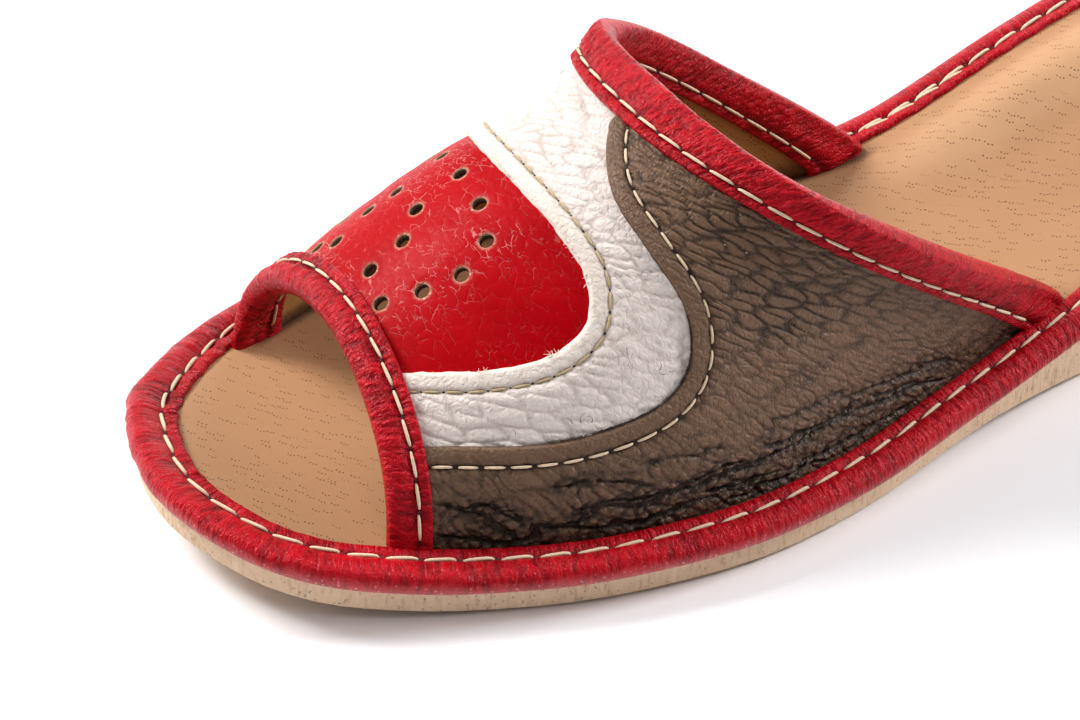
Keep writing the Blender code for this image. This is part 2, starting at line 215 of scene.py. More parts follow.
@dataclass
class Last:
    """The form that the leather is pulled over, from the same sizes as the frame's solids."""

    length: float = 0.255
    ball_width: float = 0.0919
    sole_thickness: float = 0.0042
    heel_rise: float = 0.0158
    toe_spring: float = 0.0061
    waist_lift: float = 0.0015
    insole_thickness: float = 0.0034
    ridge_height: float = 0.0030
    rim_width: float = 0.0052
    rim_toe_width: float = 0.0068
    instep_height: float = 0.0430
    clearance: float = 0.0003
    seat_gap: float = 0.0005
    lean_power: float = 1.1
    spring_share: float = 0.176
    waist_shares: tuple[float, float] = (0.385, 0.605)
    wedge_shares: tuple[float, float] = (0.470, 0.765)
    rim_taper_share: float = 0.22
    ridge_shares: tuple[float, float] = (0.48, 0.86)
    hem_drop: float = 0.1
    curve: Array = field(init=False)
    outward: Array = field(init=False)
    along: Array = field(init=False)
    middle_x: float = field(init=False)

    def __post_init__(self) -> None:
        """Work out the outline, the feet's lines and evenly spaced angles."""
        medial = [(-m * self.ball_width, s * self.length) for s, m, _ in OUTLINE]
        lateral = [(l * self.ball_width, s * self.length) for s, _, l in reversed(OUTLINE)]
        knots = np.array([(0.0, 0.0)] + medial + [(0.0, self.length)] + lateral)
        curve = self.rounded(knots, 80)
        curve = np.roll(curve, -int(np.argmin(curve[:, 1])), axis=0)
        self.middle_x = (curve[:, 0].max() + curve[:, 0].min()) / 2
        ahead = unit(np.roll(curve, -1, axis=0) - np.roll(curve, 1, axis=0))
        self.curve = curve
        self.outward = np.stack([-ahead[:, 1], ahead[:, 0]], axis=-1)
        run = run_along(np.vstack([curve, curve[:1]]))
        self.girth = run[-1]
        self.along = run
        self.heel_turn = run[int(np.argmax(curve[:, 1]))] / self.girth
        self.stations = np.linspace(0.05, 0.70, 80) * self.length
        self.lateral_foot = self.side_x(self.stations, 1, self.rim(self.curve[:, 1]))
        self.medial_foot = self.side_x(self.stations, -1, self.rim(self.curve[:, 1]))
        angles = np.linspace(0.0, math.pi, 241)
        total = np.zeros(len(angles))
        for place in (0.1, 0.5, 0.9):
            run = run_along(self.by_angle(angles, np.full(len(angles), place)))
            total += run / run[-1]
        self.shares, self.angles = total / total[-1], angles
        self.places = np.linspace(0.0, 1.0, 33)
        across = np.linspace(0.0, 1.0, 121)
        grid = self.form(across[:, None], self.places[None, :])
        self.arch_run = np.linalg.norm(np.diff(grid, axis=0), axis=2).sum(0)
        self.crest_run = np.linalg.norm(np.diff(grid, axis=1), axis=2).sum(1)

    @staticmethod
    def rounded(knots: Array, count: int) -> Array:
        """Closed smooth curve through unevenly spaced knots.

        Args:
            knots: Points of the curve.
            count: How many points it gets.

        Returns:
            Points of the curve at even steps.
        """
        total = len(knots)
        gaps = np.sqrt(np.linalg.norm(np.roll(knots, -1, axis=0) - knots, axis=1))
        samples = []
        t = np.linspace(0.0, 1.0, count, endpoint=False)[:, None]
        for i in range(total):
            p0, p1, p2, p3 = (knots[(i + k) % total] for k in (-1, 0, 1, 2))
            d0, d1, d2 = gaps[i - 1], gaps[i], gaps[(i + 1) % total]
            m1 = (p1 - p0) / d0 - (p2 - p0) / (d0 + d1) + (p2 - p1) / d1
            m2 = (p2 - p1) / d1 - (p3 - p1) / (d1 + d2) + (p3 - p2) / d2
            samples.append((2 * t ** 3 - 3 * t ** 2 + 1) * p1 + (t ** 3 - 2 * t ** 2 + t) * m1 * d1
                           + (3 * t ** 2 - 2 * t ** 3) * p2 + (t ** 3 - t ** 2) * m2 * d1)
        return np.concatenate(samples)

    def sole_top(self, y: Array) -> Array:
        """Height of the sole's upper face at a distance y from the toe's tip.

        Args:
            y: Distances in metres.

        Returns:
            Heights in metres.
        """
        spring = self.toe_spring * np.clip(1.0 - y / (self.spring_share * self.length), 0, 1) ** 2
        start, end = self.waist_shares
        waist = np.clip((y / self.length - start) / (end - start), 0.0, 1.0)
        lift = self.waist_lift * np.sin(math.pi * waist) ** 2
        start, end = self.wedge_shares
        wedge = smoothstep(y / self.length, start, end)
        return spring + lift * (1.0 - wedge) + self.sole_thickness + self.heel_rise * wedge

    def rim(self, y: Array) -> Array:
        """Width of the rolled rim, widest round the toe."""
        taper = smoothstep(1.0 - y / (self.rim_taper_share * self.length))
        return self.rim_width + (self.rim_toe_width - self.rim_width) * taper

    def side_x(self, y: Array, side: int, inset: Array) -> Array:
        """How far the outline, moved inwards, reaches to one side (-1 medial) at stations y.

        Args:
            y: Stations along the shoe.
            side: Which side, -1 or 1.
            inset: How far it is moved inwards.

        Returns:
            Places of the outline across the shoe.
        """
        moved = self.curve - self.outward * np.asarray(inset).reshape(-1, 1)
        heel = int(np.argmax(moved[:, 1]))
        chain = moved[:heel + 1] if side < 0 else np.vstack([moved[:1], moved[:heel - 1:-1]])
        order = np.argsort(chain[:, 1])
        return np.interp(y, chain[order, 1], chain[order, 0])

    def girdle(self, turn: Array) -> tuple[Array, Array]:
        """Outline points and outward directions; turn runs once round, medial side first."""
        at = (np.asarray(turn) % 1.0) * self.girth
        points = resample(np.vstack([self.curve, self.curve[:1]]), self.along, at)
        normals = resample(np.vstack([self.outward, self.outward[:1]]), self.along, at)
        return points, unit(normals)

    def by_angle(self, angle: Array, place: Array) -> Array:
        """Points of the upper's outer form: angle 0 at the lateral foot, pi at the medial one."""
        p = np.asarray(place)[..., None]
        row = ARCHES[0] * (1 - p) * (1 - 2 * p) + 4 * ARCHES[1] * p * (1 - p) + ARCHES[2] * p * (2 * p - 1)
        lateral, medial, lean, height, skew, flare, shoulder, fullness = np.moveaxis(row, -1, 0)
        c = np.cos(angle)
        s = np.maximum(np.sin(angle), 0.0)
        wide = np.sign(c) * np.abs(c) ** shoulder
        high = s ** fullness
        ground = (lateral + (medial - lateral) * (1 - c) / 2) * self.length
        right = np.interp(ground, self.stations, self.lateral_foot) - self.clearance
        left = np.interp(ground, self.stations, self.medial_foot) + self.clearance
        x = (left + right) / 2 + (right - left) / 2 * wide
        x = x + (skew * high + 2 * flare * s * c) * self.ball_width
        y = ground + lean * self.length * high ** self.lean_power
        seat = self.sole_top(ground) + self.insole_thickness + self.seat_gap
        return self.centred(x, y, seat + height * self.instep_height * high)

    def centred(self, x: Array, y: Array, z: Array) -> Array:
        """Points of the frame from places beside and behind the toe's tip."""
        return np.stack([x - self.middle_x, y - self.length / 2, z], axis=-1)

    def form(self, across: Array, place: Array) -> Array:
        """Points of the outer form: across 0 at the lateral foot, 1 at the medial one.

        Args:
            across: Shares over the arch.
            place: Shares from the toe opening, 0, to the throat, 1.

        Returns:
            Points in the frame.
        """
        across, place = np.broadcast_arrays(np.asarray(across, float), np.asarray(place, float))
        inside = np.clip(across, 0.0, 1.0)
        points = self.by_angle(np.interp(inside, self.shares, self.angles), place)
        points[..., 2] -= np.abs(across - inside) * self.hem_drop
        return points

    def normal(self, across: Array, place: Array, step: float = 0.005) -> Array:
        """Outward directions of the outer form.

        Args:
            across: Shares over the arch.
            place: Shares from the toe opening to the throat.
            step: Share between the points that are compared.

        Returns:
            Directions of length one.
        """
        across, place = np.broadcast_arrays(np.asarray(across, float), np.asarray(place, float))
        a = np.clip(across, step, 1.0 - step)
        over = self.form(a + step, place) - self.form(a - step, place)
        ahead = self.form(a, place + step) - self.form(a, place - step)
        return unit(np.cross(ahead, over))

    def skin(self, across: Array, place: Array, height: Array) -> Array:
        """Points at a height over the outer form."""
        return self.form(across, place) + self.normal(across, place) * np.asarray(height)[..., None]

    def along_line(self, line: Array) -> tuple[Array, Array, Array]:
        """Points, outward and forward directions at rows (across, place) of a line on the form."""
        points = self.form(line[:, 0], line[:, 1])
        return points, self.normal(line[:, 0], line[:, 1]), unit(np.gradient(points, axis=0))

    def chart(self, across: Array, place: Array) -> tuple[Array, Array]:
        """Flat coordinates of the hide in millimetres: along the shoe, and up from the foot."""
        length = 0.5 * (self.crest_run[0] + self.crest_run[len(self.crest_run) // 2])
        return place * length / MM, across * np.interp(place, self.places, self.arch_run) / MM

    def from_edge(self, across: float, distance: Array, opening: Opening) -> Array:
        """Places at distances from the toe opening or from the throat, at one across.

        Args:
            across: Share over the arch.
            distance: Distances over the form.
            opening: Which opening.

        Returns:
            The place of each distance.
        """
        ends = (0.0, 1.0) if opening is Opening.TOE else (1.0, 0.0)
        places = np.linspace(*ends, 40)
        run = run_along(self.form(across, places))
        return np.interp(distance, run, places)


# Tools for pieces

def deselect() -> None:
    """Leave nothing selected and no mode open."""
    if bpy.context.object and bpy.context.object.mode != "OBJECT":
        bpy.ops.object.mode_set(mode="OBJECT")
    bpy.ops.object.select_all(action="DESELECT")


def select(piece: Piece) -> None:
    """Make one piece the selected and active one."""
    deselect()
    piece.select_set(True)
    bpy.context.view_layer.objects.active = piece


def place_points(piece: Piece, points: Array) -> None:
    """Give every vertex of a piece its place."""
    piece.data.vertices.foreach_set("co", np.ascontiguousarray(points, np.float32).ravel())
    piece.data.update()


def points_of(piece: Piece) -> Array:
    """The places of a piece's vertices."""
    points = np.empty(len(piece.data.vertices) * 3, np.float32)
    piece.data.vertices.foreach_get("co", points)
    return points.reshape(-1, 3).astype(float)


def paint(piece: Piece, name: str, values: Array) -> None:
    """Store one number for each vertex, for the finish to read."""
    layer = piece.data.attributes.new(name, "FLOAT", "POINT")
    layer.data.foreach_set("value", np.ascontiguousarray(values, np.float32).ravel())


def cut_grid(name: str, columns: int, rows: int) -> tuple[Piece, Array, Array]:
    """Cut a flat grid of leather.

    Args:
        name: The piece's name.
        columns: Faces along u.
        rows: Faces along v.

    Returns:
        The piece and each vertex's u and v, from 0 to 1.
    """
    deselect()
    bpy.ops.mesh.primitive_grid_add(x_subdivisions=columns, y_subdivisions=rows, size=2.0)
    piece = bpy.context.object
    piece.name = name
    piece.data.name = name
    flat = points_of(piece)
    u = np.round((flat[:, 0] + 1) / 2 * columns) / columns
    v = np.round((flat[:, 1] + 1) / 2 * rows) / rows
    return piece, u, v


def scale_uv(piece: Piece, width: float, length: float) -> None:
    """Stretch a piece's UV map to its real size in metres.

    Args:
        piece: The piece.
        width: Its width once round the section.
        length: Its length.
    """
    layer = piece.data.uv_layers[0].data
    flat = np.empty(len(layer) * 2, np.float32)
    layer.foreach_get("uv", flat)
    flat = flat.reshape(-1, 2) * (width, length)
    layer.foreach_set("uv", flat.astype(np.float32).ravel())


@contextmanager
def editing(piece: Piece, action: str = "SELECT") -> Iterator[None]:
    """Open a piece in edit mode, with all of it selected or, by DESELECT, nothing."""
    select(piece)
    bpy.ops.object.mode_set(mode="EDIT")
    bpy.ops.mesh.select_all(action=action)
    yield
    bpy.ops.object.mode_set(mode="OBJECT")


def weld(piece: Piece, reach: float = 2e-6, recalculate: bool = True) -> None:
    """Merge vertices that meet.

    Args:
        piece: The mesh.
        reach: How near vertices have to be.
        recalculate: Whether all faces are then turned outwards.
    """
    with editing(piece):
        bpy.ops.mesh.remove_doubles(threshold=reach)
        if recalculate:
            bpy.ops.mesh.normals_make_consistent(inside=False)


def close_ends(piece: Piece, recalculate: bool = True) -> None:
    """Fill the open ends of a tube.

    Args:
        piece: The tube.
        recalculate: Whether all faces are then turned outwards.
    """
    with editing(piece, "DESELECT"):
        bpy.ops.mesh.select_mode(type="EDGE")
        bpy.ops.mesh.select_non_manifold()
        bpy.ops.mesh.fill_holes(sides=0)
        bpy.ops.mesh.select_all(action="SELECT")
        if recalculate:
            bpy.ops.mesh.normals_make_consistent(inside=False)
        bpy.ops.mesh.select_mode(type="VERT")


def face_outwards(piece: Piece, outward: Array) -> None:
    """Flip an open sheet whose faces point in.

    Args:
        piece: The sheet.
        outward: The direction that each vertex should face.
    """
    normals = np.empty(len(piece.data.vertices) * 3, np.float32)
    piece.data.vertices.foreach_get("normal", normals)
    if (normals.reshape(-1, 3) * outward).sum() < 0:
        with editing(piece):
            bpy.ops.mesh.flip_normals()


def dress(piece: Piece, materials: list) -> None:
    """Give a bare piece its materials, in order of index."""
    for material in materials:
        piece.data.materials.append(material)


def thicken(piece: Piece, thickness: float) -> None:
    """Give a dressed sheet its real thickness, inwards; its cut edge takes the second material.

    Args:
        piece: The sheet.
        thickness: Its thickness in metres.
    """
    select(piece)
    wall = piece.modifiers.new("thickness", "SOLIDIFY")
    wall.thickness = thickness
    wall.offset = -1.0
    wall.material_offset_rim = 1
    bpy.ops.object.modifier_apply(modifier=wall.name)


def fold_rows(face_rows: int, back_rows: int, thickness: float) -> Array:
    """Rows of a sheet, from its hidden end over its face to the cut edge and back underneath.

    Args:
        face_rows: Rows on the face.
        back_rows: Rows underneath.
        thickness: The leather's thickness, in millimetres.

    Returns:
        Columns: share of the way from the cut edge to the hidden end, depth below the face in
        millimetres, and how far the raw edge has leant out.
    """
    face = [(share, 0.0, 0.0) for share in np.linspace(1.0, 0.0, face_rows)]
    edge = [(0.0, 0.45 * thickness, 0.6), (0.0, thickness, 1.0)]
    back = [(share, thickness, 0.0) for share in np.linspace(0.03, 1.0, back_rows)]
    return np.array(face + edge + back + [face[0]])


def mark_raw_edge(piece: Piece, row: Array, first: int) -> None:
    """Give the two strips of faces after a row of a grid the second material.

    Args:
        piece: The piece.
        row: Row of each vertex.
        first: The row before the strips.
    """
    loops = np.empty(len(piece.data.loops), np.int32)
    piece.data.loops.foreach_get("vertex_index", loops)
    rows = row[loops].reshape(-1, 4)
    raw = (rows.min(axis=1) >= first) & (rows.max(axis=1) <= first + 2)
    piece.data.polygons.foreach_set("material_index", raw.astype(np.int32))


def punch(piece: Piece, centres: Array, radius: float) -> None:
    """Punch round holes through a sheet that has no thickness yet.

    Args:
        piece: The sheet.
        centres: Middles of the holes.
        radius: The punch's radius.
    """
    points = points_of(piece)
    mesh = piece.data
    middles = np.empty(len(mesh.polygons) * 3, np.float32)
    mesh.polygons.foreach_get("center", middles)
    middles = middles.reshape(-1, 3)
    gone = np.zeros(len(mesh.polygons), bool)
    for centre in centres:
        gone |= np.linalg.norm(middles - centre, axis=1) < radius * 1.02
    with editing(piece, "DESELECT"):
        bpy.ops.mesh.select_mode(type="FACE")
    mesh.polygons.foreach_set("select", gone)
    corners = {v for p in mesh.polygons if gone[p.index] for v in p.vertices}
    kept = {v for p in mesh.polygons if not gone[p.index] for v in p.vertices}
    for index in corners & kept:
        reach = np.linalg.norm(centres - points[index], axis=1)
        centre = centres[int(reach.argmin())]
        points[index] = centre + (points[index] - centre) * (radius / reach.min())
    place_points(piece, points)
    bpy.ops.object.mode_set(mode="EDIT")
    bpy.ops.mesh.delete(type="FACE")
    bpy.ops.mesh.select_mode(type="VERT")
    bpy.ops.object.mode_set(mode="OBJECT")


def finish_piece(piece: Piece, stands_for: tuple = ()) -> None:
    """Smooth a dressed piece and tie it to the frame.

    Args:
        piece: The finished mesh.
        stands_for: Names of the frame's nodes that it replaces.
    """
    piece.data.shade_smooth()
    deselect()
    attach(piece, ROOT)
    if stands_for:
        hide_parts(*stands_for)
    faces = sum(len(p.vertices) - 2 for p in piece.data.polygons)
    LOG.info("%s: %d triangles", piece.name, faces)


def join_shapes(name: str, shapes: list, material: Material, reach: float) -> None:
    """Join many small shapes into one piece.

    Args:
        name: The piece's name.
        shapes: Points and faces of each shape.
        material: The piece's finish.
        reach: How near vertices have to be to merge.
    """
    points, faces, start = [], [], 0
    for shape_points, shape_faces in shapes:
        points.append(shape_points)
        faces += [[v + start for v in face] for face in shape_faces]
        start += len(shape_points)
    mesh = bpy.data.meshes.new(name)
    mesh.from_pydata(np.concatenate(points).tolist(), [], faces)
    piece = bpy.data.objects.new(name, mesh)
    bpy.context.scene.collection.objects.link(piece)
    weld(piece, reach)
    dress(piece, [material])
    finish_piece(piece)


# Shader tools

class Graph:
    """Adds and links nodes in one node tree."""

    def __init__(self, tree: Tree) -> None:
        """Take the tree that the nodes go into."""
        self.tree = tree

    def add(self, kind: str, inputs: dict | None = None, **settings: object) -> Node:
        """Add a node.

        Args:
            kind: The node's type without its ShaderNode prefix.
            inputs: Values or sockets for its inputs, by name or index.
            settings: Properties of the node.

        Returns:
            The new node.
        """
        node = self.tree.nodes.new("ShaderNode" + kind)
        for key, value in settings.items():
            setattr(node, key, value)
        for key, value in (inputs or {}).items():
            self.feed(node.inputs[key], value)
        return node

    def feed(self, socket: Socket, value: object) -> None:
        """Link a socket, or give it a plain value.

        Args:
            socket: The input.
            value: An output to link, or a number, colour or vector.
        """
        if isinstance(value, Socket):
            self.tree.links.new(value, socket)
        elif socket.type == "RGBA" and len(value) == 3:
            socket.default_value = (*value, 1.0)
        else:
            socket.default_value = value

    def math(self, operation: str, a: object, b: object = 0.0, clamp: bool = False) -> Socket:
        """Result of a Math node."""
        return self.add("Math", {0: a, 1: b}, operation=operation, use_clamp=clamp).outputs[0]

    def vector(self, operation: str, a: object, b: object = (0, 0, 0)) -> Socket:
        """Result of a Vector Math node."""
        node = self.add("VectorMath", {0: a, 1: b}, operation=operation)
        return node.outputs["Value" if operation in ("LENGTH", "DOT_PRODUCT") else "Vector"]

    def scaled(self, a: object, factor: object) -> Socket:
        """A vector times a number."""
        return self.add("VectorMath", {0: a, "Scale": factor}, operation="SCALE").outputs["Vector"]

    def ease(self, value: object, low: float, high: float, to: tuple = (0.0, 1.0)) -> Socket:
        """Value eased between two limits.

        Args:
            value: What is eased.
            low: Lower limit.
            high: Upper limit.
            to: What they become.

        Returns:
            The eased value.
        """
        node = self.add("MapRange", {0: value, 1: low, 2: high, 3: to[0], 4: to[1]},
                        interpolation_type="SMOOTHSTEP")
        return node.outputs[0]

    def mix(self, factor: object, a: object, b: object) -> Socket:
        """Mix of two colours, which are this node's seventh and eighth inputs."""
        return self.add("Mix", {0: factor, 6: a, 7: b}, data_type="RGBA").outputs[2]

    def noise(self, vector: object, scale: float, detail: float = 2.0, rough: float = 0.5) -> Node:
        """A Noise Texture node."""
        return self.add("TexNoise", {"Vector": vector, "Scale": scale, "Detail": detail, "Roughness": rough})

    def warped(self, vector: object, noise: Node, reach: float) -> Socket:
        """A vector pushed about by a noise's colour."""
        push = self.vector("SUBTRACT", noise.outputs["Color"], (0.5, 0.5, 0.5))
        return self.vector("ADD", vector, self.scaled(push, reach))

    def group(self, tree: Tree, **values: object) -> Node:
        """Place a shared group and set its inputs, whose names have underscores here."""
        node = self.add("Group", node_tree=tree)
        for key, value in values.items():
            self.feed(node.inputs[key.replace("_", " ").capitalize()], value)
        return node

    def attribute(self, name: str) -> Socket:
        """A number painted on the piece."""
        return self.add("Attribute", attribute_name=name).outputs["Fac"]


def new_group(name: str, inputs: dict, outputs: dict) -> tuple[Tree, Graph, dict, dict]:
    """Start a shared node group.

    Args:
        name: The group's name.
        inputs: Socket type and default value for each input.
        outputs: Socket type for each output.

    Returns:
        The group, its graph, its input sockets and its output sockets, by name.
    """
    tree = bpy.data.node_groups.new(name, "ShaderNodeTree")
    for key, (kind, default) in inputs.items():
        made = tree.interface.new_socket(name=key, in_out="INPUT", socket_type="NodeSocket" + kind)
        if default is not None:
            made.default_value = default
    for key, kind in outputs.items():
        tree.interface.new_socket(name=key, in_out="OUTPUT", socket_type="NodeSocket" + kind)
    graph = Graph(tree)
    start = tree.nodes.new("NodeGroupInput")
    end = tree.nodes.new("NodeGroupOutput")
    return tree, graph, {s.name: s for s in start.outputs}, {s.name: s for s in end.inputs}


class Effects:
    """Shader groups that several finishes share."""

    def __init__(self) -> None:
        """Build every group once."""
        self.grain = self.build_grain()
        self.crackle = self.build_crackle()
        self.tone = self.build_tone()
        self.pores = self.build_pores()
        self.specks = self.build_specks()

    def build_grain(self) -> Tree:
        """Pebbled grain: rounded cells with fine pits."""
        tree, g, start, end = new_group(
            "leather_grain",
            {"Vector": ("Vector", None), "Cells": ("Float", 500.0), "Pits": ("Float", 0.3)},
            {"Height": "Float", "Seams": "Float"})
        coords = g.scaled(start["Vector"], start["Cells"])
        warped = g.warped(coords, g.noise(coords, 0.8), 0.9)
        cells = g.add("TexVoronoi", {"Vector": warped, "Scale": 1.0}, feature="DISTANCE_TO_EDGE")
        small = g.add("TexVoronoi", {"Vector": warped, "Scale": 3.1}, feature="DISTANCE_TO_EDGE")
        body = g.ease(cells.outputs["Distance"], 0.0, 0.32)
        fine = g.ease(small.outputs["Distance"], 0.0, 0.3)
        height = g.math("ADD", body, g.math("MULTIPLY", fine, start["Pits"]))
        g.feed(end["Height"], height)
        g.feed(end["Seams"], g.math("SUBTRACT", 1.0, body))
        return tree

    def build_crackle(self) -> Tree:
        """Broken hairlines of a cracked gloss, which the finish colours as painted glints."""
        tree, g, start, end = new_group(
            "gloss_crackle",
            {"Vector": ("Vector", None), "Cells": ("Float", 400.0), "Patch": ("Float", 60.0)},
            {"Lines": "Float", "Height": "Float"})
        across_grain = g.vector("MULTIPLY", start["Vector"], (0.62, 1.0, 0.62))
        coords = g.scaled(across_grain, start["Cells"])
        warped = g.warped(coords, g.noise(coords, 0.6, 3.0), 1.0)
        wide = g.add("TexVoronoi", {"Vector": warped, "Scale": 0.8}, feature="DISTANCE_TO_EDGE")
        tight = g.add("TexVoronoi", {"Vector": warped, "Scale": 1.7}, feature="DISTANCE_TO_EDGE")
        line_a = g.ease(wide.outputs["Distance"], 0.0, 0.034, (1.0, 0.0))
        line_b = g.ease(tight.outputs["Distance"], 0.0, 0.050, (1.0, 0.0))
        patch = g.noise(start["Vector"], start["Patch"], 1.0).outputs["Fac"]
        broken = g.noise(coords, 1.15, 1.0).outputs["Fac"]
        other = g.noise(g.vector("ADD", coords, (9.0, 4.0, 2.0)), 1.3, 1.0).outputs["Fac"]
        keep_a = g.math("MULTIPLY", g.ease(broken, 0.48, 0.58), g.ease(patch, 0.30, 0.55, (0.25, 1.0)))
        keep_b = g.math("MULTIPLY", g.ease(other, 0.51, 0.62), g.ease(patch, 0.38, 0.60))
        lines = g.math("MAXIMUM", g.math("MULTIPLY", line_a, keep_a), g.math("MULTIPLY", line_b, keep_b))
        g.feed(end["Lines"], lines)
        swell = g.ease(wide.outputs["Distance"], 0.0, 0.3, (0.0, 0.35))
        g.feed(end["Height"], g.math("SUBTRACT", swell, g.math("MULTIPLY", lines, 0.8)))
        return tree

    def build_tone(self) -> Tree:
        """Uneven colour from clouds, with painted shade in the hollows and a painted highlight on the
        crowns.
        """
        tree, g, start, end = new_group(
            "uneven_tone_and_painted_shade",
            {"Vector": ("Vector", None), "Colour": ("Color", (0.5, 0.5, 0.5, 1)),
             "Hollow": ("Color", (0.1, 0.1, 0.1, 1)), "Crown": ("Color", (0.8, 0.8, 0.8, 1)),
             "Relief": ("Float", 0.0), "Clouds": ("Float", 0.3), "Scale": ("Float", 40.0)},
            {"Colour": "Color"})
        cloud = g.noise(g.scaled(start["Vector"], start["Scale"]), 1.0, 4.0, 0.6).outputs["Fac"]
        drift = g.math("MULTIPLY", g.math("SUBTRACT", cloud, 0.5), start["Clouds"])
        level = g.math("ADD", start["Relief"], drift)
        # Painted shade where the relief is low, painted highlight where it is high
        low = g.ease(level, 0.05, -0.75)
        high = g.ease(level, 0.1, 0.85)
        base = g.mix(low, start["Colour"], start["Hollow"])
        g.feed(end["Colour"], g.mix(high, base, start["Crown"]))
        return tree

    def build_pores(self) -> Tree:
        """Bristle pores of pigskin, in rows of three."""
        tree, g, start, end = new_group(
            "pigskin_pores",
            {"Vector": ("Vector", None), "Cells": ("Float", 400.0), "Size": ("Float", 0.08)},
            {"Pores": "Float", "Height": "Float"})
        coords = g.scaled(start["Vector"], start["Cells"])
        warped = g.vector("ADD", coords, g.scaled(g.noise(coords, 0.3).outputs["Color"], 0.9))
        cells = g.add("TexVoronoi", {"Vector": warped, "Scale": 1.0, "Randomness": 0.80}, feature="F1",
                      voronoi_dimensions="2D")
        away = g.vector("SUBTRACT", warped, cells.outputs["Position"])
        flat = g.vector("MULTIPLY", away, (1.0, 1.0, 0.0))
        chance = g.add("SeparateColor", {0: cells.outputs["Color"]}).outputs[0]
        nearest = None
        for x, y in ((-0.27, 0.045), (0.0, -0.04), (0.26, 0.015)):
            dot = g.vector("LENGTH", g.vector("SUBTRACT", flat, (x, y, 0.0)))
            nearest = dot if nearest is None else g.math("MINIMUM", nearest, dot)
        spot = g.math("SUBTRACT", 1.0, g.math("DIVIDE", nearest, start["Size"]), clamp=True)
        shown = g.math("MULTIPLY", spot, g.ease(chance, 0.05, 0.55))
        g.feed(end["Pores"], g.ease(shown, 0.05, 0.55))
        wrinkle = g.noise(coords, 1.6, 3.0, 0.6).outputs["Fac"]
        g.feed(end["Height"], g.math("SUBTRACT", g.math("MULTIPLY", wrinkle, 0.35), shown))
        return tree

    def build_specks(self) -> Tree:
        """Tiny scattered specks, for open foam cells and dust."""
        tree, g, start, end = new_group(
            "fine_specks",
            {"Vector": ("Vector", None), "Cells": ("Float", 1500.0), "Share": ("Float", 0.2)},
            {"Specks": "Float"})
        cells = g.add("TexVoronoi", {"Vector": g.scaled(start["Vector"], start["Cells"]), "Scale": 1.0},
                      feature="F1")
        chance = g.add("SeparateColor", {0: cells.outputs["Color"]}).outputs[0]
        chosen = g.math("LESS_THAN", chance, start["Share"])
        spot = g.ease(cells.outputs["Distance"], 0.42, 0.12)
        g.feed(end["Specks"], g.math("MULTIPLY", spot, chosen))
        return tree


def new_material(name: str) -> tuple[Material, Graph, Node]:
    """Start a material.

    Returns:
        The material, its graph and its Principled BSDF.
    """
    material = bpy.data.materials.new(name)
    material.use_nodes = True
    shader = material.node_tree.nodes["Principled BSDF"]
    return material, Graph(material.node_tree), shader


def finish_shader(g: Graph, shader: Node, height: object, distance: float, values: dict) -> None:
    """Feed a shader's inputs.

    Args:
        g: The material's graph.
        shader: Its Principled BSDF.
        height: The surface's fine relief, for its normal.
        distance: How deep that relief is.
        values: Values or sockets for the other inputs, by name.
    """
    bump = g.add("Bump", {"Height": height, "Distance": distance, "Strength": 1.0})
    g.feed(shader.inputs["Normal"], bump.outputs["Normal"])
    for name, value in values.items():
        g.feed(shader.inputs[name], value)


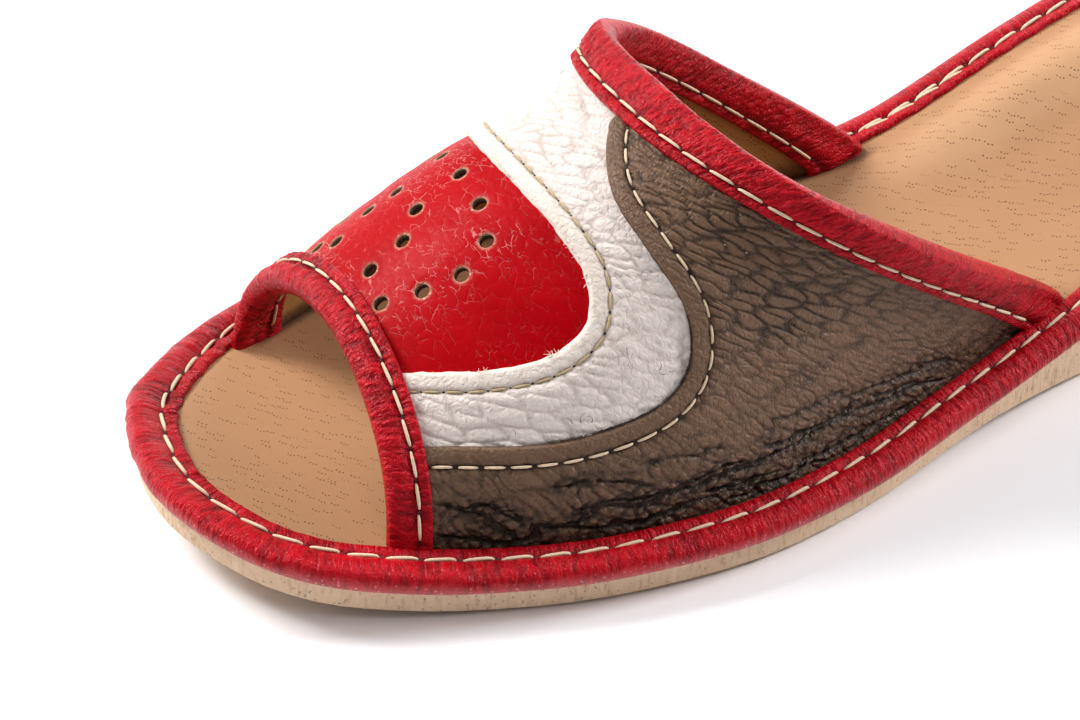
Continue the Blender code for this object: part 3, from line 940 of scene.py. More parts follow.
@dataclass(frozen=True)
class Leather:
    """Finished leather whose piece carries a painted relief, from -1 in hollows to 1 on crowns, turned into
    painted shade in the hollows and a painted highlight on the crowns.
    """

    name: str
    colour: Colour
    # hollow is the colour of the painted shade, crown that of the painted highlight
    hollow: Colour
    crown: Colour
    roughness: float
    cells: float
    grain_depth: float
    clouds: float = 0.3
    shine: float = 0.3
    tint: Colour = (1.0, 0.80, 0.68)
    coat: float = 0.0
    coat_roughness: float = 0.25
    dust: float = 0.0
    dust_colour: Colour = (0.62, 0.18, 0.22)
    # The crackle's lines are real cracks in the gloss; their pale colour is a painted glint
    crackle: float = 0.0
    crackle_glint_colour: Colour = (0.98, 0.40, 0.38)
    ribs: float = 0.0

    def build(self, effects: Effects) -> Material:
        """Make the material.

        Args:
            effects: The shared shader groups.

        Returns:
            The material.
        """
        material, g, shader = new_material(self.name)
        place = g.add("TexCoord").outputs["Object"]
        grain = g.group(effects.grain, vector=place, cells=self.cells, pits=0.35)
        # The grain's seams deepen the painted shade
        relief = g.math("SUBTRACT", g.attribute("relief"), g.math("MULTIPLY", grain.outputs["Seams"], 0.12))
        height = grain.outputs["Height"]
        if self.ribs:
            strip = g.vector("MULTIPLY", g.add("TexCoord").outputs["UV"], (240.0, 1000.0, 0.0))
            rib = g.math("SUBTRACT", g.noise(strip, 1.0, 2.0, 0.6).outputs["Fac"], 0.5)
            # The ribs shade the colour too: painted shade in their furrows, painted highlight on their tops
            relief = g.math("ADD", relief, g.math("MULTIPLY", rib, 1.5))
            height = g.math("ADD", g.math("MULTIPLY", height, 0.4), g.math("MULTIPLY", rib, self.ribs))
        tone = g.group(effects.tone, vector=place, colour=self.colour, hollow=self.hollow,
                       crown=self.crown, relief=relief, clouds=self.clouds, scale=90.0)
        colour = tone.outputs["Colour"]
        rough = g.math("ADD", self.roughness, g.math("MULTIPLY", grain.outputs["Seams"], 0.12))
        # Crack lines tinted pale as painted glints, as far as the wear attribute lets them show
        if self.crackle:
            lines = g.group(effects.crackle, vector=place, cells=680.0, patch=70.0)
            worn = g.math("MULTIPLY", g.attribute("wear"), self.crackle)
            colour = g.mix(g.math("MULTIPLY", lines.outputs["Lines"], worn), colour, self.crackle_glint_colour)
            height = lines.outputs["Height"]
        if self.dust:
            specks = g.group(effects.specks, vector=place, cells=1500.0, share=0.40)
            amount = g.math("MULTIPLY", g.attribute("dust"), self.dust)
            haze = g.math("MULTIPLY", amount, g.math("ADD", 0.28, specks.outputs["Specks"]), clamp=True)
            colour = g.mix(haze, colour, self.dust_colour)
            rough = g.math("ADD", rough, g.math("MULTIPLY", haze, 0.25))
        finish_shader(g, shader, height, self.grain_depth, {
            "Base Color": colour, "Roughness": rough, "Specular IOR Level": self.shine,
            "Specular Tint": self.tint, "Coat Weight": self.coat, "Coat Roughness": self.coat_roughness})
        return material


@dataclass(frozen=True)
class Pigskin:
    """Soft unlined pigskin with rows of bristle pores."""

    name: str
    colour: Colour
    # shade and light are the colours of the painted shade where the relief is low and the painted highlight
    # where it is high
    shade: Colour
    light: Colour
    pore: Colour = (0.20, 0.085, 0.035)
    # Colour of the painted shade where the vamp's inside meets the bed
    soil: Colour = (0.045, 0.016, 0.008)
    roughness: float = 0.62
    shine: float = 0.2
    cells: float = 470.0
    pore_depth: float = 0.00014

    def build(self, effects: Effects) -> Material:
        """Make the material from the shared groups."""
        material, g, shader = new_material(self.name)
        coords = g.add("TexCoord")
        pores = g.group(effects.pores, vector=coords.outputs["UV"], cells=self.cells, size=0.084)
        tone = g.group(effects.tone, vector=coords.outputs["Object"], colour=self.colour,
                       hollow=self.shade, crown=self.light, relief=g.attribute("relief"),
                       clouds=0.9, scale=28.0)
        colour = g.mix(g.math("MULTIPLY", pores.outputs["Pores"], 0.95), tone.outputs["Colour"], self.pore)
        # Painted shade in the corner where the vamp's inside meets the bed
        colour = g.mix(g.attribute("soil"), colour, self.soil)
        finish_shader(g, shader, pores.outputs["Height"], self.pore_depth, {
            "Base Color": colour, "Roughness": self.roughness, "Specular IOR Level": self.shine})
        return material


@dataclass(frozen=True)
class Foam:
    """Closed-cell sole foam, cut so that its cells show."""

    name: str = "beige_foam_skin"
    colour: Colour = (0.73, 0.52, 0.35)
    shade: Colour = (0.38, 0.23, 0.14)
    light: Colour = (0.86, 0.70, 0.54)
    roughness: float = 0.86
    depth: float = 0.00020

    def build(self, effects: Effects) -> Material:
        """Make the material from the shared groups."""
        material, g, shader = new_material(self.name)
        place = g.add("TexCoord").outputs["Object"]
        streaks = g.vector("MULTIPLY", place, (1.0, 1.0, 0.3))
        comb = g.noise(streaks, 1100.0, 4.0, 0.7).outputs["Fac"]
        specks = g.group(effects.specks, vector=place, cells=1900.0, share=0.14).outputs["Specks"]
        # Colour follows the streaks' relief: painted shade in their troughs, painted highlight on their
        # crests; the open cells are painted darker
        relief = g.math("MULTIPLY", g.math("SUBTRACT", comb, 0.5), 2.4)
        tone = g.group(effects.tone, vector=place, colour=self.colour, hollow=self.shade,
                       crown=self.light, relief=relief, clouds=0.7, scale=60.0)
        colour = g.mix(g.math("MULTIPLY", specks, 0.6), tone.outputs["Colour"], self.shade)
        height = g.math("SUBTRACT", g.math("MULTIPLY", comb, 0.8), specks)
        finish_shader(g, shader, height, self.depth, {"Base Color": colour, "Roughness": self.roughness})
        return material


@dataclass(frozen=True)
class Fibre:
    """Threads, raw cut edges and loose fibres: matt, with fine strands."""

    name: str
    colour: Colour
    shade: Colour
    roughness: float = 0.75
    strands: float = 1800.0
    depth: float = 0.00006

    def build(self, effects: Effects) -> Material:
        """Make the material from the shared groups."""
        material, g, shader = new_material(self.name)
        place = g.add("TexCoord").outputs["Object"]
        strand = g.noise(place, self.strands, 2.0, 0.6).outputs["Fac"]
        tone = g.group(effects.tone, vector=place, colour=self.colour, hollow=self.shade,
                       crown=self.colour, relief=g.math("SUBTRACT", strand, 0.62), clouds=0.5, scale=300.0)
        colour = tone.outputs["Colour"]
        finish_shader(g, shader, strand, self.depth, {"Base Color": colour, "Roughness": self.roughness})
        return material


class Finishes:
    """Every finish of the slipper, made once."""

    def __init__(self) -> None:
        """Build the shared effects and all materials."""
        effects = Effects()
        self.glossy_red = Leather(
            "glossy_red_leather", (0.405, 0.0003, 0.003), (0.22, 0.0, 0.001), (0.48, 0.001, 0.006),
            0.42, 1100.0, 0.00008, clouds=0.5, shine=0.11, tint=(1.0, 0.20, 0.25), coat=0.01,
            coat_roughness=0.12, dust=2.4, dust_colour=(0.66, 0.42, 0.30), crackle=0.75).build(effects)
        self.white = Leather(
            "white_pebbled_leather", (0.80, 0.705, 0.660), (0.46, 0.38, 0.34), (0.86, 0.79, 0.75),
            0.42, 900.0, 0.00007, clouds=0.12, shine=0.4, dust=0.8,
            dust_colour=(0.80, 0.70, 0.56)).build(effects)
        self.brown = Leather(
            "taupe_pebbled_leather", (0.156, 0.088, 0.052), (0.017, 0.009, 0.006), (0.26, 0.162, 0.108),
            0.34, 1000.0, 0.00010, clouds=0.4, shine=0.42).build(effects)
        self.red = Leather(
            "red_binding_leather", (0.46, 0.0010, 0.008), (0.17, 0.0, 0.002), (0.60, 0.008, 0.022),
            0.27, 1700.0, 0.00013, clouds=0.3, shine=0.44, tint=(1.0, 0.26, 0.30), dust=1.0,
            dust_colour=(0.72, 0.34, 0.34), ribs=5.0).build(effects)
        self.pigskin = Pigskin(
            "tan_pigskin", (0.405, 0.214, 0.107), (0.29, 0.142, 0.064), (0.50, 0.285, 0.152)).build(effects)
        self.lining = Pigskin(
            "ochre_lining", (0.42, 0.22, 0.07), (0.26, 0.12, 0.04), (0.55, 0.32, 0.12)).build(effects)
        self.foam = Foam().build(effects)
        self.raw_white = Fibre("raw_white_edge", (0.84, 0.78, 0.66), (0.62, 0.54, 0.42)).build(effects)
        self.raw_brown_and_hole_shade = Fibre("raw_brown_edge_and_hole_shade", (0.050, 0.024, 0.016), (0.012, 0.006, 0.005)).build(effects)
        self.raw_red = Fibre("raw_punched_edge", (0.40, 0.26, 0.15), (0.16, 0.09, 0.05)).build(effects)
        self.cream = Fibre("cream_thread", (0.78, 0.60, 0.42), (0.46, 0.31, 0.18), 0.6).build(effects)
        self.olive = Fibre("olive_cream_thread", (0.50, 0.38, 0.21), (0.24, 0.17, 0.08), 0.6).build(effects)
        # Near-black blobs that paint the shade in the needle holes
        self.shadow = Fibre("needle_hole_shade", (0.03, 0.010, 0.008), (0.01, 0.004, 0.003)).build(effects)
        self.hair = Fibre("dark_fluff", (0.035, 0.020, 0.015), (0.015, 0.01, 0.01)).build(effects)
        self.fluff = Fibre("white_fluff", (0.86, 0.82, 0.76), (0.6, 0.56, 0.5)).build(effects)


# Panels of the vamp. Lines are given on the lateral half and mirrored over the crest line:
# place from toe opening (0) to throat (1), and share of the way from the crest line to the foot
CREST = 0.64
RED_LINE = ((0.0, 0.44), (0.10, 0.49), (0.20, 0.54), (0.31, 0.5625), (0.40, 0.54), (0.46, 0.49),
            (0.505, 0.42), (0.530, 0.315), (0.539, 0.20), (0.5405, 0.0))
WHITE_UNDER = ((0.0, 0.76), (0.10, 0.79), (0.20, 0.82), (0.32, 0.835), (0.45, 0.83), (0.56, 0.77),
               (0.68, 0.66), (0.82, 0.48), (0.96, 0.32), (1.0, 0.0))
BROWN_LINE = ((0.0, 0.670), (0.10, 0.700), (0.20, 0.733), (0.30, 0.747), (0.40, 0.735), (0.48, 0.700),
              (0.545, 0.640), (0.60, 0.555), (0.64, 0.440), (0.68, 0.330), (0.74, 0.250),
              (0.82, 0.193), (0.90, 0.182), (1.0, 0.180))

# Punched holes of the lateral half, as place and share. The mirrored half has the same.
# Six lie on an outer horseshoe and three on an inner one
HOLES = ((0.119, 0.269), (0.205, 0.306), (0.294, 0.322), (0.388, 0.278), (0.438, 0.186), (0.456, 0.080),
         (0.146, 0.131), (0.244, 0.133), (0.318, 0.080))


def mirrored(share: Array, side: Side) -> Array:
    """Across position of a share of the way from the crest line to one side's foot."""
    share = np.asarray(share, float)
    return CREST * (1.0 - share) if side is Side.LATERAL else CREST + (1.0 - CREST) * share


def both_sides(line: tuple) -> Array:
    """Knots (across, place) of a line from the lateral front round to the medial front."""
    half = [(float(mirrored(share, Side.LATERAL)), place) for place, share in line]
    back = [(float(mirrored(share, Side.MEDIAL)), place) for place, share in line]
    return np.array(half + back[-2::-1])


@dataclass(frozen=True)
class Crease:
    """A fold in the side panel: where it starts and ends, and its form in millimetres."""

    start: tuple[float, float]
    end: tuple[float, float]
    bow: float
    width: float
    depth: float


# Creases of the lateral panel. Ends are place and rise above the foot in millimetres
CREASES = tuple(Crease(*row) for row in (
    ((0.05, 1.6), (0.16, 1.0), -0.9, 0.55, 0.75),
    ((0.15, 1.0), (0.26, 5.3), -0.4, 0.60, 0.95),
    ((0.25, 5.2), (0.49, 6.2), 0.5, 0.60, 0.95),
    ((0.16, 2.4), (0.39, 2.9), -0.9, 0.55, 0.85),
    ((0.38, 2.9), (0.50, 1.6), 0.3, 0.50, 0.70),
    ((0.23, 5.0), (0.36, 5.6), -0.8, 0.50, 0.65),
    ((0.34, 5.7), (0.48, 9.0), 0.5, 0.55, 0.75),
    ((0.06, 8.8), (0.145, 1.8), 0.4, 0.60, 0.70),
    ((0.085, 7.0), (0.165, 4.0), 0.9, 0.55, 0.55),
    ((0.20, 10.8), (0.34, 8.4), 0.5, 0.60, 0.45),
    ((0.39, 6.4), (0.62, 7.6), 0.4, 0.60, 0.95),
    ((0.61, 7.6), (0.79, 0.8), 0.9, 0.60, 0.85),
    ((0.38, 4.7), (0.51, 2.4), -0.2, 0.55, 0.80),
    ((0.50, 2.3), (0.73, 0.6), 0.7, 0.55, 0.80),
    ((0.49, 9.9), (0.69, 7.5), 0.2, 0.60, 0.75),
    ((0.68, 7.4), (0.77, 3.2), 0.3, 0.55, 0.65),
    ((0.39, 0.9), (0.58, 0.5), 0.3, 0.50, 0.70),
    ((0.65, 10.2), (0.83, 3.6), 0.8, 0.60, 0.60),
    ((0.52, 12.6), (0.70, 11.0), 0.4, 0.70, 0.35),
    ((0.33, 12.2), (0.47, 11.6), 0.5, 0.70, 0.30),
    ((0.76, 25.0), (0.55, 22.0), -1.5, 1.60, -0.30),
    ((0.73, 31.0), (0.66, 40.0), 1.0, 1.60, -0.22),
    ((0.78, 20.0), (0.60, 16.0), -1.0, 1.30, 0.22),
))
PLACE_RUN = 118.0


def crease_relief(place: Array, rise: Array) -> tuple[Array, Array]:
    """Troughs and ridges of all creases.

    Args:
        place: Place between toe opening and throat.
        rise: Distance above the foot, in millimetres.

    Returns:
        Height in millimetres, and how near a crease each point is, from 0 to 1.
    """
    x, y = place * PLACE_RUN, rise
    x = x + 1.2 * (soft_noise(x / 3.1, y / 3.1, 11) - 0.5)
    y = y + 1.5 * (soft_noise(x / 2.9, y / 2.9, 12) - 0.5) + 1.6 * (soft_noise(x / 8, y / 8, 13) - 0.5)
    vary = 0.55 + 0.75 * soft_noise(x / 4.5, y / 4.5, 14)
    height = np.zeros_like(x)
    near = np.zeros_like(x)
    for c in CREASES:
        ax, ay, bx, by = c.start[0] * PLACE_RUN, c.start[1], c.end[0] * PLACE_RUN, c.end[1]
        span = math.hypot(bx - ax, by - ay)
        ux, uy = (bx - ax) / span, (by - ay) / span
        t = ((x - ax) * ux + (y - ay) * uy) / span
        off = (y - ay) * ux - (x - ax) * uy - c.bow * np.sin(math.pi * np.clip(t, 0, 1))
        fade = smoothstep(t, -0.06, 0.16) * smoothstep(1.0 - t, -0.06, 0.16) * vary
        trough = 0.85 * bell(off, 0.62 * c.width) + 0.35 * bell(off, 1.8 * c.width)
        height = np.minimum(height, 0.35 * height - 0.85 * c.depth * trough * fade) if c.depth > 0 else (
            height - c.depth * trough * fade)
        height += 0.30 * c.depth * (bell(off - 2.6 * c.width, 1.5 * c.width)
                                    + bell(off + 2.6 * c.width, 1.5 * c.width)) * fade
        near = np.maximum(near, fade * bell(off, 4.0 * c.width) * min(1.0, abs(c.depth) / 0.5))
    return height, near


@dataclass
class Seam:
    """A stitched line on the shoe: its points, outward directions and thread."""

    points: Array
    normals: Array
    pitch: float
    thread: float
    fill: float = 0.82
    slant: float = 0.0
    lift: float = 0.0
    closed: bool = False


class Stitcher:
    """Makes every thread as one stitch shape, copied along the seams."""

    def __init__(self) -> None:
        """Model one stitch and one needle hole."""
        self.stitch_points, self.stitch_faces = self.template(8, 9)
        self.hole_points, self.hole_faces = self.template(8, 4)

    @staticmethod
    def template(segments: int, rings: int) -> tuple[Array, list]:
        """Points and faces of a ball primitive, whose axis is X."""
        deselect()
        bpy.ops.mesh.primitive_uv_sphere_add(segments=segments, ring_count=rings, radius=1.0)
        ball = bpy.context.object
        with editing(ball):
            bpy.ops.transform.rotate(value=math.pi / 2, orient_axis="Y", center_override=(0, 0, 0))
        points = points_of(ball)
        faces = [list(p.vertices) for p in ball.data.polygons]
        bpy.data.objects.remove(ball, do_unlink=True)
        return points, faces

    def sew(self, name: str, seams: list[Seam], material: Material) -> None:
        """Sew seams as one piece of thread.

        Args:
            name: The piece's name.
            seams: The lines to sew.
            material: The thread's finish.
        """
        rows = []
        for seam in seams:
            run = run_along(seam.points)
            count = max(1, int(round(run[-1] / seam.pitch)))
            step = run[-1] / count
            for k in range(count):
                rows.append((self.one_stitch(seam, run, (k + 0.5) * step, step, k), self.stitch_faces))
        join_shapes(name, rows, material, 1e-8)

    def one_stitch(self, seam: Seam, run: Array, middle: float, step: float, index: int) -> Array:
        """Points of one stitch, lying in its seam and diving at both ends.

        Args:
            seam: The seam.
            run: Distance of each seam point.
            middle: The stitch's middle.
            step: Distance between stitches.
            index: Number of the stitch.

        Returns:
            The stitch's points.
        """
        ball = self.stitch_points
        jitter = lattice(np.array([index]), np.array([int(seam.pitch * 1e5)]), 5)[0] - 0.5
        x = np.sign(ball[:, 0]) * np.abs(ball[:, 0]) ** 0.85
        blunt = np.maximum(np.hypot(ball[:, 1], ball[:, 2]), 0.05) ** -0.5
        half = 0.5 * step * seam.fill * (1.0 + 0.08 * jitter)
        at = middle + x * half
        point = resample(seam.points, run, at)
        normal = unit(resample(seam.normals, run, at))
        before = resample(seam.points, run, at - 0.3 * step)
        after = resample(seam.points, run, at + 0.3 * step)
        side = unit(np.cross(normal, unit(after - before)))
        plump = seam.thread / 2 * blunt
        arc = seam.lift + seam.thread * (0.34 - 0.95 * np.abs(x) ** 6)
        sideways = ball[:, 1] * plump + seam.slant * x * half + 0.12 * seam.thread * jitter
        return point + side * sideways[:, None] + normal * (arc + ball[:, 2] * plump * 0.9)[:, None]

    def pierce(self, name: str, seams: list[Seam], material: Material) -> None:
        """Add the needle holes between stitches: dark sunken blobs that paint the shade in them."""
        rows = []
        for seam in seams:
            run = run_along(seam.points)
            count = max(1, int(round(run[-1] / seam.pitch)))
            at = np.linspace(0.0, run[-1], count + 1)[: count if seam.closed else count + 1]
            points = resample(seam.points, run, at)
            normals = unit(resample(seam.normals, run, at))
            ahead = unit(resample(seam.points, run, at + MM / 2) - resample(seam.points, run, at - MM / 2))
            for point, normal, along in zip(points, normals, ahead):
                side = np.cross(normal, along)
                ball = self.hole_points * (0.62, 0.40, 0.16) * seam.thread
                spot = point + normal * (seam.lift * 0.5 - 0.02 * MM)
                turned_ball = ball[:, :1] * along + ball[:, 1:2] * side + ball[:, 2:] * normal
                rows.append((spot + turned_ball, self.hole_faces))
        join_shapes(name, rows, material, 1e-8)


@dataclass
class Vamp:
    """The layered upper: lining, red centre, white band and two side panels."""

    last: Last
    finishes: Finishes
    red_height: float = -1.20
    red_share: float = 0.68
    red_reach: float = 0.62
    red_thickness: float = 0.5
    white_height: float = -0.45
    white_far: float = -0.80
    brown_height: float = 0.0
    brown_far: float = -0.30
    red_seam: float = 3.0
    brown_seam: float = 3.1
    white_stitch: tuple[float, float] = (3.4 * MM, 0.40 * MM)
    brown_stitch: tuple[float, float] = (3.9 * MM, 0.46 * MM)
    lap: float = 9.0
    lining_height: float = -1.75
    lining_tuck: float = 0.008
    lining_thickness: float = 0.85
    hole_radius: float = 1.25
    thickness: float = 0.8
    margin: float = 0.012
    seams: dict = field(default_factory=dict)

    def hole_spots(self, height: float) -> Array:
        """Middles of the punched holes at a height over the form, in millimetres."""
        rows = [(float(mirrored(share, side)), place) for side in Side for place, share in HOLES]
        across, place = np.array(rows).T
        return self.last.skin(across, place, np.full(len(rows), height * MM))

    def lap_height(self, reach: Array, near: float, far: float) -> Array:
        """Height of a panel over the form: near its cut edge, and beyond the layer beneath."""
        return near + (far - near) * smoothstep(reach, self.lap - 2, self.lap + 1)

    def lap_profile(self, reach: Array, seam: float) -> Array:
        """Height of a sewn lap, in millimetres, by its distance from the cut edge.

        Args:
            reach: Distance from the edge.
            seam: Where the seam lies.

        Returns:
            Height over the plain lap.
        """
        puff = 0.20 * np.sin(math.pi * np.clip(reach / seam, 0.0, 1.0)) ** 0.7
        groove = -0.34 * bell(reach - seam, 0.42)
        beyond = 0.20 * bell(reach - seam - 1.7, 1.2)
        worn = -0.30 * (1.0 - smoothstep(reach, 0.0, 0.45))
        return puff + groove + beyond + worn

    def line(self, knots: Array, count: int) -> Array:
        """Rows (across, place) at even steps along a line on the form.

        Args:
            knots: Rows that the line goes through.
            count: How many rows it gets.

        Returns:
            The rows.
        """
        path = smooth_path(knots, 12 * len(knots))
        run = run_along(self.last.form(path[:, 0], path[:, 1]))
        return resample(path, run, np.linspace(0.0, run[-1], count))

    def reach_from(self, points: Array, line: Array) -> Array:
        """Distance of each point from a line on the form, in millimetres.

        Args:
            points: Points on the form.
            line: Rows of the line.

        Returns:
            The distances.
        """
        dense = self.last.form(line[:, 0], line[:, 1])
        run = run_along(dense)
        dense = resample(dense, run, np.arange(0.0, run[-1], 0.1 * MM))
        tree = kdtree.KDTree(len(dense))
        for i, point in enumerate(dense):
            tree.insert(point, i)
        tree.balance()
        return np.array([tree.find(point)[2] for point in points]) / MM

    def add_seam(self, name: str, line: Array, offset: float, towards: Array, height: float,
                 pitch: float, thread: float) -> None:
        """Remember a seam that runs beside a cut edge.

        Args:
            name: The seam's name.
            line: Rows (across, place) of the cut edge.
            offset: How far inside the edge the seam lies, in millimetres.
            towards: Rows (across, place) on the panel's far side, which give the direction.
            height: The groove's height over the form, in millimetres.
            pitch: Length from stitch to stitch.
            thread: The thread's thickness.
        """
        under_bindings = (line[:, 1] > 0.035) & (line[:, 1] < 0.965)
        line, towards = line[under_bindings], towards[under_bindings]
        edge, normal, along = self.last.along_line(line)
        side = np.cross(normal, along)
        aim = self.last.form(towards[:, 0], towards[:, 1]) - edge
        side *= np.sign((side * aim).sum(axis=1))[:, None]
        points = edge + side * offset * MM + normal * height * MM
        self.seams[name] = Seam(points, normal, pitch, thread, lift=0.05 * MM)

    def build_lining(self) -> None:
        """Ochre leather inside the vamp, punched with the red centre."""
        piece, u, v = cut_grid("vamp_lining", 130, 90)
        across = u * (1 + 2 * self.lining_tuck) - self.lining_tuck
        place = self.margin + (1 - 2 * self.margin) * v
        x, y = self.last.chart(across, place)
        relief = 0.12 * (soft_noise(x / 9, y / 9, 3) - 0.5)
        height = self.lining_height + relief
        place_points(piece, self.last.skin(across, place, height * MM))
        paint(piece, "relief", relief * 4)
        # Painted shade along the lining's feet, where it meets the bed
        paint(piece, "soil", 0.85 * bell(np.minimum(across, 1 - across) * 100, 1.6))
        scale_uv(piece, 0.13, 0.085)
        outward = self.last.normal(across, place)
        face_outwards(piece, outward)
        punch(piece, self.hole_spots(self.lining_height), self.hole_radius * MM)
        # The lining's cut edges inside the holes take this near-black edge colour, which paints the shade in
        # the holes
        dress(piece, [self.finishes.lining, self.finishes.raw_brown_and_hole_shade])
        thicken(piece, self.lining_thickness * MM)
        finish_piece(piece, ("upper",))

    def build_red_centre(self) -> None:
        """Glossy red leather in the middle, with its horseshoes of punched holes."""
        piece, u, v = cut_grid("red_centre_panel", 180, 150)
        start, end = (mirrored(self.red_share, side) for side in Side)
        across = start + u * (end - start)
        place = self.margin + self.red_reach * v
        x, y = self.last.chart(across, place)
        waves = 0.22 * (soft_noise(x / 14, y / 14, 21) - 0.5)
        fine = 0.05 * (soft_noise(x / 2.2, y / 2.2, 22) - 0.5)
        spots = self.hole_spots(self.red_height)
        points = self.last.skin(across, place, (self.red_height + waves + fine) * MM)
        reach = np.min([np.linalg.norm(points - spot, axis=1) for spot in spots], axis=0) / MM
        dish = -0.10 * bell(reach - self.hole_radius, 0.7)
        points += self.last.normal(across, place) * (dish * MM)[:, None]
        place_points(piece, points)
        # Painted shade in the waves' low places and in the dishes round the holes
        paint(piece, "relief", waves * 1.2 + dish * 1.5)
        paint(piece, "dust", bell(reach - self.hole_radius, 0.24))
        # How many crack lines show as painted glints: most on the crest, round the holes and at the front
        crown = 1.0 - 0.90 * smoothstep(np.abs(across - CREST) / CREST, 0.22, 0.44)
        wear = (0.46 + 0.50 * bell(reach - self.hole_radius, 3.5)) * crown
        paint(piece, "wear", wear + 0.20 * (1 - smoothstep(place, 0.10, 0.30)))
        scale_uv(piece, 0.06, 0.05)
        face_outwards(piece, self.last.normal(across, place))
        punch(piece, spots, self.hole_radius * MM)
        dress(piece, [self.finishes.glossy_red, self.finishes.raw_red])
        thicken(piece, self.red_thickness * MM)
        finish_piece(piece)

    def fold_sheet(self, name: str, edge: Array, far: Array, face_rows: int, lip: Array) -> tuple:
        """Cut a sheet that reaches from a cut edge to a hidden line, folded back underneath.

        Args:
            name: The piece's name.
            edge: Rows (across, place) along the cut edge.
            far: As many rows along the hidden line.
            face_rows: Rows of points on the face.
            lip: How far the raw edge slopes out at each row of the edge, in millimetres.

        Returns:
            The piece, across and place and depth of each vertex, and its shift out of the cut edge.
        """
        edge, far, lip = self.trimmed(edge, far, lip)
        rows = fold_rows(face_rows, 5, self.thickness)
        piece, u, v = cut_grid(name, len(edge) - 1, len(rows) - 1)
        column = np.round(u * (len(edge) - 1)).astype(int)
        row = np.round(v * (len(rows) - 1)).astype(int)
        share = rows[row, :1]
        flat = edge[column] * (1 - share) + far[column] * share
        mark_raw_edge(piece, row, face_rows - 1)
        points, normal, along = self.last.along_line(edge)
        side = np.cross(normal, along)
        side *= -np.sign((side * (self.last.form(far[:, 0], far[:, 1]) - points)).sum(axis=1))[:, None]
        shift = side[column] * (rows[row, 2] * lip[column] * MM)[:, None]
        return piece, flat[:, 0], np.clip(flat[:, 1], self.margin, 1 - self.margin), rows[row, 1], shift

    def trimmed(self, edge: Array, far: Array, lip: Array) -> tuple[Array, Array, Array]:
        """The lines of a sheet, and its lip, with as many columns between the vamp's raw ends.

        Args:
            edge: Rows of the cut edge.
            far: Rows of the far edge.
            lip: Rows under the cut edge.

        Returns:
            The three lines without what lies past the raw ends.
        """
        index = np.arange(len(edge))
        inside = np.flatnonzero((edge[:, 1] > self.margin) & (edge[:, 1] < 1 - self.margin))
        at = np.linspace(inside[0], inside[-1], len(edge))
        return resample(edge, index, at), resample(far, index, at), np.interp(at, index, lip)

    def build_white_band(self) -> None:
        """White pebbled band round the red centre and back to the throat."""
        count = 420
        edge = self.line(both_sides(RED_LINE), count + 1)
        under = self.matched(both_sides(RED_LINE), both_sides(WHITE_UNDER), count + 1)
        ragged = 0.15 + 0.30 * soft_noise(np.arange(count + 1) / 4.0, np.zeros(count + 1), 38)
        piece, across, place, depth, shift = self.fold_sheet("white_band_panel", edge, under, 92, ragged)
        reach = self.reach_from(self.last.form(across, place), edge)
        x, y = self.last.chart(across, place)
        sewn = self.lap_profile(reach, self.red_seam)
        warp_x, warp_y = (2.4 * soft_noise(x / 5, y / 5, seed) for seed in (31, 32))
        x1, y1 = turned(x + warp_x, y + warp_y, -20)
        cells = pebbles(x1 / 4.6, y1 / 2.9, 33)
        small = pebbles(x1 / 2.4, y1 / 1.9, 34)
        open_grain = smoothstep(reach, self.red_seam - 0.5, self.red_seam + 1.5)
        patchy = soft_noise(x / 7, y / 7, 35)
        seams = -0.24 * (1 - smoothstep(cells, 0.0, 0.30)) * (0.25 + 0.75 * patchy)
        fine = -0.07 * (1 - smoothstep(small, 0.0, 0.34)) * (1.1 - patchy)
        plump = 0.10 * smoothstep(cells, 0.0, 0.7)
        grain = (seams + fine + plump) * (0.12 + 0.88 * open_grain)
        waves = 0.4 * (soft_noise(x / 12, y / 12, 36) - 0.5)
        base = self.lap_height(reach, self.white_height, self.white_far)
        height = base + sewn + grain + waves * open_grain - depth
        place_points(piece, self.last.skin(across, place, height * MM) + shift)
        # Painted shade in the grain's seams and along the stitch groove
        paint(piece, "relief", (seams + fine) * 1.7 - 0.30 * bell(reach - self.red_seam, 0.5))
        paint(piece, "dust", 1.0 - smoothstep(reach, self.red_seam - 1.2, self.red_seam - 0.2))
        face_outwards(piece, self.last.normal(across, place))
        dress(piece, [self.finishes.white, self.finishes.raw_white])
        weld(piece, 1e-8, recalculate=False)
        close_ends(piece, recalculate=False)
        finish_piece(piece)
        self.add_seam("white", edge, self.red_seam, under, self.white_height - 0.30, *self.white_stitch)

    def matched(self, guide: Array, knots: Array, count: int) -> Array:
        """Rows on one line that face even steps along another with as many knots.

        Args:
            guide: Rows of the line with even steps.
            knots: Rows of the other line.
            count: How many rows it gets.

        Returns:
            The rows.
        """
        steps = 12 * len(guide)
        path = smooth_path(guide, steps)
        run = run_along(self.last.form(path[:, 0], path[:, 1]))
        return resample(smooth_path(knots, steps), run, np.linspace(0.0, run[-1], count))

